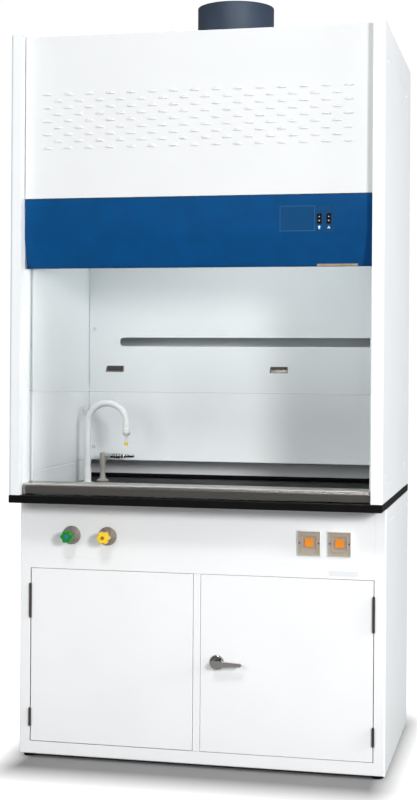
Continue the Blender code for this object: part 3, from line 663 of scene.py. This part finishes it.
def socket_outlet(node):
    low, high = node_box(node)
    middle_x, middle_z = (low.x + high.x) / 2, (low.z + high.z) / 2
    housing = node_copy(node, node + "_housing")
    bevel_picked(housing, lambda a, b: near(a.y, low.y) and near(b.y, low.y) and
                 (abs(a.x - middle_x) > 0.03 or abs(a.z - middle_z) > 0.03), 0.0012, 3)
    stand_for(smooth(housing), WHITE, node)
    rim = 0.0018
    face = block(node + "_face", (low.x + rim, low.y - 0.0016, low.z + rim),
                 (high.x - rim, low.y - 0.0001, high.z - rim))
    for inset, depth in ((0.0040, 0.0), (0.0006, 0.0009), (0.0050, 0.0), (0.0006, -0.0006)):
        pick_faces(face, lambda c, n: n.y < -0.9 and near(c.x, middle_x, 0.001) and
                   near(c.z, middle_z, 0.001))
        with editing(face):
            bpy.ops.mesh.inset(thickness=inset, depth=0)
            bpy.ops.transform.translate(value=(0, depth, 0))
    half = 0.0228
    cut_with(face, block("window", (middle_x - half, low.y - 0.01, middle_z - half),
                         (middle_x + half, low.y + 0.01, middle_z + half)))
    soften(face, 0.0004)
    dress(smooth(face), BEIGE)
    floor_y = low.y + 0.005
    well = block(node + "_well", (middle_x - half, floor_y - 0.0034, middle_z - half),
                 (middle_x + half, floor_y - 0.0002, middle_z + half))
    pick_faces(well, lambda c, n: n.y < -0.9)
    with editing(well):
        bpy.ops.mesh.inset(thickness=0.0045, depth=0)
        bpy.ops.transform.translate(value=(0, 0.0022, 0))
    soften(well, 0.0004)
    dress(smooth(well), BEIGE)
    core_half, lift = 0.0132, 0.0025
    core = block(node + "_insert", (middle_x - core_half, low.y - 0.0010, middle_z - core_half + lift),
                 (middle_x + core_half, floor_y - 0.0012, middle_z + core_half + lift))
    notch_place = (middle_x, low.y + 0.002, middle_z + core_half + lift)
    notch = built_up("notch", [(0.0022, -0.004), (0.0022, 0.02)], notch_place, TO_FRONT, 20)
    cut_with(core, notch)
    soften(core, 0.0008, 3)
    pins = []
    for x, z in ((-0.0062, -0.002), (0.0062, -0.002), (0.0, 0.0058)):
        pin = (middle_x + x, low.y, middle_z + lift + z)
        pins.append(built_up("pin", [(0.0017, -0.0012), (0.0017, 0.004)], pin, TO_FRONT, 16))
    cut_with(core, *pins)
    dress(smooth(core), ORANGE)
    for side, sign in (("left", -1), ("right", 1)):
        place = (middle_x + sign * 0.0305, low.y - 0.0012, middle_z + 0.001)
        screw = screw_head(f"{node}_screw_{side}", place, radius=0.0026, height=0.0014)
        dress(screw, DARK)


# ---------------------------------------------------------------- worktop and its fittings

TOP_LOW, TOP_HIGH = node_box("worktop")


def worktop():
    obj = node_copy("worktop", "worktop_slab")
    rim = lambda a, b: near(a.z, b.z) and (near(a.y, TOP_LOW.y) and near(b.y, TOP_LOW.y) or
                                            near(abs(a.x), TOP_HIGH.x) and near(abs(b.x), TOP_HIGH.x))
    bevel_picked(obj, rim, 0.0030, 4)
    stand_for(smooth(soften(obj, 0.0008)), RESIN, "worktop")
    low, high = node_box("baffle")
    back_low, _ = node_box("hood_back_panel")
    ledge = block("rear_upstand", (low.x - 0.040, back_low.y - 0.0125, TOP_HIGH.z + 0.0002),
                  (high.x + 0.040, back_low.y - 0.0005, TOP_HIGH.z + 0.014))
    dress(smooth(soften(ledge, 0.0025, 4)), RESIN)


def drip_cup():
    refined("drip_cup", PLASTIC, 0.0008, 2, 40)
    low, high = node_box("drip_cup")
    centre = ((low.x + high.x) / 2, (low.y + high.y) / 2, low.z + 0.050)
    plate = built_up("cup_strainer", [(0.0318, 0), (0.0322, 0.0008), (0.0316, 0.0016)], centre)
    holes = []
    for ring, count in ((0.010, 6), (0.020, 12)):
        for index in range(count):
            angle = math.tau * index / count
            place = (centre[0] + ring * math.cos(angle), centre[1] + ring * math.sin(angle), centre[2])
            holes.append(built_up("hole", [(0.0024, -0.003), (0.0024, 0.005)], place, sides=10))
    cut_with(plate, *holes)
    dress(smooth(plate), PLASTIC)


def gooseneck():
    foot_x, foot_y, _ = JOINTS["spout_swivel"]["pos_m"]
    base_low, base_high = node_box("gooseneck_base")
    low, high = node_box("gooseneck_spout")
    top, radius = TOP_HIGH.z, 0.0116
    foot_steps = [(0.0090, base_low.z), (0.0090, top + 0.0003), (0.0240, top + 0.0003), (0.0240, top + 0.004),
                  (0.0225, top + 0.0062), (0.0150, top + 0.0088), (0.0132, top + 0.0120),
                  (0.0128, top + 0.040), (0.0128, top + 0.052), (0.0120, base_high.z)]
    stand_for(built_up("gooseneck_foot", foot_steps, (foot_x, foot_y, 0)), COATED, "gooseneck_base")
    tip_x = high.x - 0.0120
    bend = (tip_x - foot_x) / 2
    bend_z = high.z - radius - bend
    nozzle_z = 1.062
    pipe = disc("gooseneck_pipe", 32, radius, (foot_x, foot_y, low.z))
    with editing(pipe, everything=True):
        bpy.ops.mesh.extrude_region_move(TRANSFORM_OT_translate={"value": (0, 0, bend_z - low.z)})
        bpy.ops.mesh.spin(steps=48, angle=math.pi, center=(foot_x + bend, foot_y, bend_z), axis=(0, -1, 0))
        bpy.ops.mesh.extrude_region_move(TRANSFORM_OT_translate={"value": (0, 0, nozzle_z - bend_z)})
        closed_up()
    settle()
    stand_for(smooth(pipe, 45), COATED, "gooseneck_spout")
    tip = (tip_x, foot_y, 0)
    nozzle_steps = [(0.0118, 1.0690), (0.0138, 1.0675), (0.0142, 1.0600), (0.0122, 1.0580), (0.0142, 1.0560),
                    (0.0138, 1.0500), (0.0085, 1.0430), (0.0062, 1.0420), (0.0062, 1.0370), (0.0048, 1.0360),
                    (0.0048, 1.0320), (0.0066, 1.0305), (0.0060, 1.0200)]
    dress(built_up("spout_nozzle", nozzle_steps, tip), COATED, "spout")
    end_steps = [(0.0050, 1.0202), (0.0062, 1.0195), (0.0062, 1.0130), (0.0044, 1.0085), (0.0030, 1.0080)]
    dress(built_up("spout_tip", end_steps, tip), YELLOW, "spout")


def gas_tap():
    low, high = node_box("gas_tap")
    axis_x, axis_y = low.x + 0.022, (low.y + high.y) / 2
    top, pipe_z = TOP_HIGH.z, 0.9625
    post = [(0.0090, low.z), (0.0090, top + 0.0003), (0.0220, top + 0.0003), (0.0220, top + 0.0040),
            (0.0200, top + 0.0062), (0.0130, top + 0.0100), (0.0098, top + 0.0180), (0.0090, top + 0.0400),
            (0.0098, top + 0.0620), (0.0112, top + 0.0740), (0.0112, 0.9690), (0.0098, 0.9725),
            (0.0060, 0.9745)]
    stand_for(built_up("gas_tap_post", post, (axis_x, axis_y, 0)), TAP_GREY, "gas_tap")
    hub = (axis_x, axis_y, pipe_z)
    arm = [(0.0095, 0.000), (0.0095, 0.021), (0.0082, 0.0225), (0.0082, 0.0300)]
    dress(built_up("gas_tap_arm", arm, hub, TO_RIGHT), TAP_GREY)
    collar = [(0.0092, 0.0301), (0.0092, 0.0375), (0.0066, 0.0377), (0.0066, 0.0390)]
    dress(built_up("gas_tap_collar", collar, hub, TO_RIGHT, 6), CHROME)
    barbs = [(0.0062, 0.0391)]
    for start in (0.0410, 0.0500, 0.0590):
        barbs += [(0.0104, start), (0.0104, start + 0.0035), (0.0066, start + 0.0050),
                  (0.0066, start + 0.0080)]
    for start, crest in ((0.0700, 0.0082), (0.0810, 0.0076), (0.0920, 0.0070), (0.1030, 0.0064)):
        barbs += [(crest, start), (crest, start + 0.002), (0.0046, start + 0.0095), (0.0046, start + 0.0100)]
    barbs += [(0.0040, 0.1165), (0.0030, 0.1165), (0.0030, 0.1120)]
    dress(built_up("gas_tap_barbs", barbs, hub, TO_RIGHT, 32), CHROME)


# ---------------------------------------------------------------- hood

def back_screws(node, across, up):
    """Pan heads round the edge of a back panel, and two upright stiffening ribs."""
    low, high = node_box(node)
    inset = 0.014
    turn = Matrix.Rotation(-math.pi / 2, 3, "X")
    xs = [low.x + inset + (high.x - low.x - 2 * inset) * index / (across - 1) for index in range(across)]
    zs = [low.z + inset + (high.z - low.z - 2 * inset) * index / (up - 1) for index in range(up)]
    y = high.y - 0.0001
    places = [(x, y, z) for z in (zs[0], zs[-1]) for x in xs]
    places += [(x, y, z) for x in (xs[0], xs[-1]) for z in zs[1:-1]]
    first = screw_head("back_screw", (0, 0, 0), turn, 0.0040, 0.0018)
    dress(repeated(f"{node}_screws", first, places), ZINC)
    for side, sign in (("left", -1), ("right", 1)):
        rib = block(f"{node}_rib_{side}", (sign * 0.2 - 0.016, high.y - 0.0002, low.z + 0.09),
                    (sign * 0.2 + 0.016, high.y + 0.0030, high.z - 0.09))
        pick_faces(rib, lambda c, n: n.y > 0.9)
        with editing(rib):
            bpy.ops.transform.resize(value=(0.55, 1, 0.985))
        dress(smooth(soften(rib, 0.0012, 3, 20), 60), SHADED_SIDE_WHITE)


def hood_sides():
    for side, sign in (("left", -1), ("right", 1)):
        node = f"hood_{side}_side"
        low, high = node_box(node)
        obj = node_copy(node)
        corner = sign * high.x if sign > 0 else low.x
        bevel_picked(obj, lambda a, b: near(a.x, corner) and near(b.x, corner) and near(a.y, low.y) and
                     near(b.y, low.y), 0.009, 6)
        inner = corner - sign * SHEET
        bevel_picked(obj, lambda a, b: near(a.x, inner) and near(b.x, inner) and near(a.y, low.y + SHEET) and
                     near(b.y, low.y + SHEET), 0.0075, 6)
        front, rear, bottom, top = low.y + 0.078, low.y + 0.735, low.z + 0.060, high.z - 0.095
        strips = [(front, rear, top, top + ACCESS_SEAM), (front, rear, bottom, bottom + ACCESS_SEAM),
                  (rear - ACCESS_SEAM, rear, bottom, top)]
        side_grooves(obj, sign, strips)
        # The side takes the darker copy of the white coat: painted shade.
        stand_for(smooth(soften(obj, 0.0003, 1, 60)), SHADED_SIDE_WHITE, node)
        for index, (y, z) in enumerate(((front + 0.02, top - 0.02), (rear - 0.02, top - 0.02),
                                        (front + 0.02, bottom + 0.02), (rear - 0.02, bottom + 0.02))):
            turn = Matrix.Rotation(sign * math.pi / 2, 3, "Y")
            place = (corner - sign * 0.0001, y, z)
            dress(screw_head(f"{side}_access_screw_{index}", place, turn, 0.0040, 0.0016), SHADED_SIDE_WHITE)
    refined("hood_back_panel", SHADED_SIDE_WHITE, 0.0003)
    refined("roof_panel", SHADED_SIDE_WHITE, 0.0003)
    back_screws("hood_back_panel", 5, 7)


def louvre():
    """One pressed louvre: a quarter of an egg on the sheet, open below."""
    obj = added("louvre", bpy.ops.mesh.primitive_uv_sphere_add, segments=20, ring_count=10, radius=1,
                rotation=(0, math.pi / 2, 0), scale=(0.0075, 0.0042, 0.0155))
    with editing(obj, everything=True):
        bpy.ops.mesh.bisect(plane_co=(0, 0, 0), plane_no=(0, 0, 1), clear_inner=True, use_fill=True)
    with editing(obj, everything=True):
        bpy.ops.mesh.bisect(plane_co=(0, 0.0004, 0), plane_no=(0, 1, 0), clear_outer=True, use_fill=True)
    pick_faces(obj, lambda c, n: n.z < -0.9)
    with editing(obj):
        bpy.ops.mesh.inset(thickness=0.0007, depth=0)
        bpy.ops.transform.translate(value=(0, 0, 0.0022))
    return obj


def front_panel():
    # The panel and its louvres take the darker copy of the white coat: painted shade.
    folded_panel("front_panel", SHADED_PANEL_WHITE, 0.0014)
    low, high = node_box("front_panel")
    rows, columns, pitch, row_pitch = 9, 15, 0.0694, 0.0216
    top_row = high.z - 0.1885
    first_x = -(columns - 1) * pitch / 2
    places = [(first_x + (column + (row % 2) / 2) * pitch, low.y, top_row - row * row_pitch)
              for row in range(rows) for column in range(columns - row % 2)]
    dress(smooth(repeated("front_louvres", louvre(), places), 40), SHADED_PANEL_WHITE)


SWITCH_Z = 1.7470


def header():
    low, high = node_box("header")
    obj = node_copy("header", "header_shell")
    bevel_picked(obj, lambda a, b: near(a.z, low.z) and near(b.z, low.z) and near(abs(a.x), high.x) and
                 near(abs(b.x), high.x), 0.008, 5)
    stand_for(smooth(soften(obj, 0.0005, 2, 40), 25), BLUE, "header")
    lights, fan = node_box("light_switch"), node_box("fan_switch")
    face = low.y
    left, right = 0.2694, (fan[0].x + fan[1].x) / 2 + 0.018
    bottom, top = 1.7060, 1.7915
    margin, border = 0.004, 0.0010
    film = block("control_film", (left, face - LIFT, bottom), (right, face - 0.00005, top))
    holes = []
    for box in (lights, fan):
        middle = (box[0].x + box[1].x) / 2
        holes.append(block("film_hole", (middle - 0.0066, face - 0.01, SWITCH_Z - 0.0150),
                           (middle + 0.0066, face + 0.01, SWITCH_Z + 0.0150)))
    cut_with(film, *holes)
    dress(film, FILM)
    legend_right = lights[0].x - 0.008
    panel = block("control_legend", (left + margin, face - LIFT - 0.0002, bottom + margin),
                  (legend_right, face - LIFT, top - margin))
    cut_with(panel, block("legend_gap", (left + margin + border, face - 0.01, bottom + margin + border),
                          (legend_right - border, face + 0.01, top - margin - border)))
    dress(panel, FILM_LINE)
    for name, box in (("light", lights), ("fan", fan)):
        switch_surround(name, box, face)
    lamp_mark((lights[0].x + lights[1].x) / 2, face)
    fan_mark((fan[0].x + fan[1].x) / 2, face)
    strip_z = low.z + 0.0055
    strip = block("header_label", (0.3870, low.y + 0.0230, strip_z - 0.0034),
                  (0.5145, low.y + 0.0236, strip_z + 0.0034))
    tilt = Matrix.Rotation(math.atan2(0.025, 0.097), 4, "X")
    pivot = Vector((0.45, low.y + 0.0233, strip_z))
    strip.data.transform(Matrix.Translation(pivot) @ tilt @ Matrix.Translation(-pivot))
    dress(strip, LABEL)


def switch_surround(name, box, face):
    middle, z = (box[0].x + box[1].x) / 2, SWITCH_Z
    outer_x, outer_z, inner_x, inner_z = 0.0076, 0.0158, 0.0063, 0.0146
    bezel = block(f"{name}_switch_bezel", (middle - outer_x, face - 0.0016, z - outer_z),
                  (middle + outer_x, face - LIFT, z + outer_z))
    cut_with(bezel, block("bezel_hole", (middle - inner_x, face - 0.01, z - inner_z),
                          (middle + inner_x, face + 0.01, z + inner_z)))
    dress(smooth(soften(bezel, 0.0005, 2)), PLASTIC)
    # A dark plate behind the rocker: painted shade in the hollow round the switch.
    rear = box[1].y + 0.0065
    well = block(f"{name}_switch_painted_shade", (middle - 0.009, rear, z - 0.018),
                 (middle + 0.009, rear + 0.001, z + 0.018))
    dress(smooth(soften(well, 0.0003)), SHADE)
    refined(f"{name}_switch", PLASTIC, 0.0009, 3)
    marks = []
    pivot_y = JOINTS[f"{name}_switch_rock"]["pos_m"][1]
    raised_slope = math.atan2(0.0036, 0.0125)
    for sign, slope, proud in ((1, -raised_slope, 0.0018), (-1, 0.0, 0.00005)):
        dot = built_up("dot", [(0.0016, 0), (0.0016, 0.0004)], (0, 0, 0), TO_FRONT, 16)
        y = pivot_y - 0.0048 - proud
        dot.data.transform(Matrix.Translation((middle, y, z + sign * 0.0062)) @
                           Matrix.Rotation(slope, 4, "X"))
        marks.append(dot)
    dress(joined(f"{name}_switch_marks", marks), INK, f"{name}_rocker")


def lamp_mark(x, face):
    """A plain bulb sign: a round top on a tapered neck."""
    z = 1.7215
    bulb = built_up("lamp_sign_bulb", [(0.0034, LIFT), (0.0034, LIFT + 0.0002)], (x, face, z), TO_FRONT, 24)
    neck = block("lamp_sign_neck", (x - 0.0017, face - LIFT - 0.0002, z - 0.0066),
                 (x + 0.0017, face - LIFT, z - 0.0022))
    dress(joined("lamp_sign", [bulb, neck]), INK)


def fan_mark(x, face):
    """A plain fan sign: three blades round a hub."""
    z = 1.7195
    blades = [built_up("fan_sign_hub", [(0.0010, LIFT), (0.0010, LIFT + 0.0002)], (x, face, z), TO_FRONT, 12)]
    for index in range(3):
        angle = math.pi / 2 + math.tau * index / 3
        blade = block("blade", (0.0008, -LIFT - 0.0002, -0.0008), (0.0044, -LIFT, 0.0008))
        pick_faces(blade, lambda c, n: n.x > 0.9)
        with editing(blade):
            bpy.ops.transform.resize(value=(1, 1, 1.9), center_override=(0.0044, -LIFT, 0))
        blade.data.transform(Matrix.Translation((x, face, z)) @ Matrix.Rotation(-angle, 4, "Y"))
        blades.append(blade)
    dress(joined("fan_sign", blades), INK)


def chamber():
    for side, sign in (("left", -1), ("right", 1)):
        node = f"{side}_liner"
        low, high = node_box(node)
        obj = node_copy(node)
        inner = high.x if sign < 0 else low.x
        groove_z = node_box("baffle")[0].z
        xs = sorted((inner + sign * 0.0018, inner - sign * 0.002))
        cut_with(obj, block("groove", (xs[0], low.y - 0.01, groove_z - 0.0028),
                            (xs[1], high.y + 0.01, groove_z)))
        stand_for(smooth(soften(obj, 0.0008)), LINER, node)
        refined(f"{side}_sash_track", LINER, 0.0004)
    refined("ceiling_panel", LINER, 0.0004)
    refined("baffle", LINER, 0.0008)
    low, high = node_box("baffle")
    face = node_box("left_liner")[1].y + 0.0015
    for side, sign in (("left", -1), ("right", 1)):
        for level, z in (("upper", 1.4215), ("lower", 0.9925)):
            steps = [(0.0075, 0.0), (0.0075, 0.0022), (0.0062, 0.0040), (0.0035, 0.0048)]
            cap = built_up(f"baffle_cap_{side}_{level}", steps, (sign * 0.5300, face, z), TO_FRONT, 32)
            dress(cap, COATED)
    refined("lamp_housing", SHADED_SIDE_WHITE, 0.0004)
    tube_low, tube_high = node_box("lamp_tube")
    radius = (tube_high.z - tube_low.z) / 2
    half = tube_high.x
    end_steps = [(radius * 0.9, half), (radius, half - 0.001), (radius, half - 0.018),
                 (radius * 0.94, half - 0.019)]
    steps = [(size, -x) for size, x in end_steps] + end_steps[::-1]
    centre = (0, (tube_low.y + tube_high.y) / 2, (tube_low.z + tube_high.z) / 2)
    stand_for(built_up("lamp_tube_glass", steps, centre, TO_RIGHT), TUBE, "lamp_tube")


def exhaust_collar():
    low, high = node_box("exhaust_collar")
    centre = ((low.x + high.x) / 2, (low.y + high.y) / 2)
    refined("exhaust_collar", SLATE, 0.0006, 3, 40, 40)
    outer = 0.1325
    for name, z in (("collar_rim", high.z - 0.006), ("collar_bead", low.z + 0.060)):
        ring = added(name, bpy.ops.mesh.primitive_torus_add, location=(*centre, z), minor_radius=0.0028,
                     major_radius=outer + 0.0002, major_segments=96, minor_segments=12)
        dress(smooth(ring, 60), SLATE)
    for index in range(8):
        angle = math.tau * (index + 0.5) / 8
        place = (centre[0] + 0.144 * math.cos(angle), centre[1] + 0.144 * math.sin(angle), low.z + 0.002)
        dress(screw_head(f"collar_screw_{index}", place, UPRIGHT, 0.0045, 0.0024), ZINC)


def sill():
    blade = soften(node_copy("airfoil_sill", "airfoil_sill_blade"), 0.0006, 3, 12)
    stand_for(smooth(blade, 40), STEEL, "airfoil_sill")
    low, high = node_box("airfoil_sill")
    reach, radius = high.x - 0.004, 0.0015
    # A thin near-white rod along the front bend: a painted highlight line.
    bend = (0, low.y + 0.0090, low.z + 0.0308)
    steps = [(radius * 0.4, -reach), (radius, -reach + 0.001), (radius, reach - 0.001), (radius * 0.4, reach)]
    dress(built_up("sill_hem_highlight", steps, bend, TO_RIGHT, 16), HEM_HIGHLIGHT)


# ---------------------------------------------------------------- sash and its balance

def sash():
    glass = refined("sash_glass", GLASS, 0.0008)
    glass.name = "sash_pane"
    low, high = node_box("sash_glass")
    edge = block("sash_pane_edge", (low.x + 0.002, low.y - 0.0001, low.z - 0.0006),
                 (high.x - 0.002, high.y + 0.0001, low.z + 0.0008))
    dress(smooth(soften(edge, 0.0004)), GLASS_EDGE, SASH)
    refined("sash_top_rail", ZINC, 0.0006)
    for side in ("left", "right"):
        pull(f"sash_pull_{side}")


def pull(node):
    """A folded steel finger pull with closed ends, on a thin gasket."""
    low, high = node_box(node)
    refined(node, STEEL, 0.0005, 3)
    glass_face = node_box("sash_glass")[0].y
    for end, x in (("left", low.x), ("right", high.x - 0.0015)):
        cheek = block(f"{node}_cheek_{end}", (x, low.y + 0.001, low.z + 0.0006),
                      (x + 0.0015, glass_face - 0.0004, high.z))
        mesh = cheek.data
        for vertex in mesh.vertices:
            vertex.select = vertex.co.z > high.z - 0.001 and vertex.co.y < low.y + 0.002
        for edge in mesh.edges:
            edge.select = all(mesh.vertices[i].select for i in edge.vertices)
        for face in mesh.polygons:
            face.select = False
        with editing(cheek, "EDGE"):
            bpy.ops.transform.translate(value=(0, glass_face - 0.004 - (low.y + 0.001), 0))
        dress(smooth(soften(cheek, 0.0003)), STEEL if end == "left" else DARK, SASH)
    gasket = block(f"{node}_gasket", (low.x + 0.001, glass_face - 0.00028, high.z - 0.0125),
                   (high.x - 0.001, glass_face - 0.00002, high.z - 0.0005))
    dress(gasket, GASKET, SASH)


def balance():
    radius = 0.0015
    for side in ("left", "right"):
        refined(f"{side}_counterweight", DARK, 0.0015, 3)
        refined(f"{side}_pulley", PLASTIC, 0.0005, 2, 40)
        low, high = node_box(f"{side}_sash_cable")
        pulley_low, pulley_high = node_box(f"{side}_pulley")
        x = (low.x + high.x) / 2
        axle_y, axle_z = ((a + b) / 2 for a, b in zip(pulley_low[1:], pulley_high[1:]))
        near_y, far_y = low.y + radius, high.y - radius
        rail_top = node_box("sash_top_rail")[1].z
        weight_top = node_box(f"{side}_counterweight")[1].z
        for name, y, end_z, body in (("sash_run", near_y, rail_top, SASH),
                                     ("weight_run", far_y, weight_top, f"{side}_weight")):
            start_z, parts = end_z + 0.0003, 24
            steps = [(radius, start_z + (axle_z - start_z) * index / parts) for index in range(parts + 1)]
            run = built_up(f"{side}_cable_{name}", steps, (x, y, 0), sides=12)
            coat(run, ZINC)
            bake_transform(run)
        wrap = disc(f"{side}_cable_wrap", 12, radius, (x, near_y, axle_z))
        with editing(wrap, everything=True):
            bpy.ops.mesh.spin(steps=36, angle=-math.pi, center=(x, axle_y, axle_z), axis=(1, 0, 0))
            closed_up()
        settle()
        dress(smooth(wrap, 60), ZINC, nodes=[f"{side}_sash_cable"])


# ---------------------------------------------------------------- studio

MIDDLE = (0, -0.3, 1.15)
# name, place, width, power, what it points at, and whether it shows in glossy surfaces
LAMPS = [
    ("key", (3.0, -4.44, 2.1), 0.9, 142, MIDDLE, True),
    ("high", (0.2, -4.0, 5.0), 1.0, 75, (0, -0.4, 0.6), True),
    ("fill", (-1.6, -6.0, 2.3), 2.4, 92, MIDDLE, False),
    ("side", (5.5, -1.0, 2.2), 1.5, 190, MIDDLE, False),
    ("overhead", (0.0, 0.0, 9.0), 0.8, 230, (0, 0, 0), False),
    ("chamber", (0.1, -0.15, 2.1), 0.5, 4.0, (0, 0.2, 1.2), False),
    ("rear", (-2.5, 6.0, 3.4), 2.0, 150, (0, 0.4, 1.2), False),
]


def background(tree, colour, strength):
    node = tree.nodes.new("ShaderNodeBackground")
    node.inputs["Color"].default_value = colour
    node.inputs["Strength"].default_value = strength
    return node.outputs["Background"]


def studio():
    scene = bpy.context.scene
    scene.view_settings.view_transform = "Standard"
    scene.view_settings.look = "None"
    world = bpy.data.worlds.new("studio")
    scene.world = world
    world.use_nodes = True
    tree = world.node_tree
    path = tree.nodes.new("ShaderNodeLightPath")
    result = background(tree, (1.0, 1.0, 1.0, 1.0), 0.28)
    for ray, colour, strength in (("Is Glossy Ray", (0.95, 0.97, 1.0, 1.0), 0.16),
                                  ("Is Camera Ray", (1.0, 1.0, 1.0, 1.0), 1.02)):
        mix = tree.nodes.new("ShaderNodeMixShader")
        tree.links.new(path.outputs[ray], mix.inputs["Fac"])
        tree.links.new(result, mix.inputs[1])
        tree.links.new(background(tree, colour, strength), mix.inputs[2])
        result = mix.outputs["Shader"]
    tree.links.new(result, tree.nodes["World Output"].inputs["Surface"])
    bpy.ops.object.select_all(action="DESELECT")
    bpy.ops.mesh.primitive_plane_add(size=60, location=(0, 0, 0))
    floor = bpy.context.object
    floor.name = "studio_floor"
    paper = finish("studio_paper", "f8f8f8", "f6f6f6", 0.9, tone=(0.5, 0.5), grain=(200.0, 0.0))
    tree = paper.node_tree
    shader = tree.nodes["Principled BSDF"]
    seen = tree.nodes.new("ShaderNodeLightPath").outputs["Is Camera Ray"]
    tone = mix_colours(tree, seen, (0.18, 0.18, 0.18, 1.0), (0.26, 0.26, 0.26, 1.0))
    tree.links.new(tone, shader.inputs["Base Color"])
    shader.inputs["Specular IOR Level"].default_value = 0.0
    # The floor's glow leaves a painted shadow close round the base.
    glow_from_distance(tree, shader, seen)
    floor.data.materials.append(paper)
    for name, place, size, power, target, shines in LAMPS:
        lamp(name, place, size, power, target).visible_glossy = shines
    floor_light = lamp("floor_light", (0.0, 0.0, 9.0), 0.8, 500, (0, 0, 0))
    lit = bpy.data.collections.new("lit_floor")
    lit.objects.link(floor)
    floor_light.light_linking.receiver_collection = lit


def glow_from_distance(tree, shader, seen):
    """The paper sweep glows white from a short way off the base and stays dark close to it: a painted shadow round
    the base.
    """
    place = tree.nodes.new("ShaderNodeTexCoord")
    offset = place.outputs["Object"]
    half_base, stretch = (0.56, 0.42, 0.0), (2.6, 1.0, 1.0)
    for operation, value in (("ABSOLUTE", None), ("SUBTRACT", half_base), ("MAXIMUM", (0.0, 0.0, 0.0)),
                             ("MULTIPLY", stretch), ("LENGTH", None)):
        step = tree.nodes.new("ShaderNodeVectorMath")
        step.operation = operation
        tree.links.new(offset, step.inputs[0])
        if value:
            step.inputs[1].default_value = value
        offset = step.outputs["Value" if operation == "LENGTH" else "Vector"]
    white_from = 0.33
    glow = spread(tree, offset, 0.0, white_from)
    strength = calculate(tree, "MULTIPLY", glow, seen)
    shader.inputs["Emission Color"].default_value = (1.0, 1.0, 1.0, 1.0)
    tree.links.new(strength, shader.inputs["Emission Strength"])


def lamp(name, place, size, power, target):
    data = bpy.data.lights.new(name, "AREA")
    data.shape = "DISK"
    data.size = size
    data.energy = power
    obj = bpy.data.objects.new(name, data)
    bpy.context.scene.collection.objects.link(obj)
    aim = Vector(target) - Vector(place)
    obj.matrix_world = Matrix.Translation(place) @ aim.to_track_quat("-Z", "Y").to_matrix().to_4x4()
    return obj


def camera():
    data = bpy.data.cameras.new("camera")
    data.sensor_fit = "VERTICAL"
    data.sensor_height = 24.0
    data.lens = 45.63
    data.shift_x = 0.0183
    data.shift_y = -0.0469
    obj = bpy.data.objects.new("camera", data)
    bpy.context.scene.collection.objects.link(obj)
    place, turn, roll = (1.083, -5.072, 1.300), math.radians(13.05), math.radians(0.37)
    obj.matrix_world = (Matrix.Translation(place) @ Matrix.Rotation(turn, 4, "Z") @
                        Matrix.Rotation(math.pi / 2, 4, "X") @ Matrix.Rotation(roll, 4, "Z"))
    bpy.context.scene.camera = obj


def build():
    camera()
    base_cabinet()
    cabinet_doors()
    hinge_barrels()
    lever_set()
    valve_and_knob("water", GREEN, CAP_BLUE, "water_control")
    valve_and_knob("gas", YELLOW, CAP_BROWN, "gas_control")
    socket_outlet("outlet_left")
    socket_outlet("outlet_right")
    worktop()
    drip_cup()
    gooseneck()
    gas_tap()
    hood_sides()
    front_panel()
    header()
    chamber()
    exhaust_collar()
    sill()
    sash()
    balance()
    studio()


build()
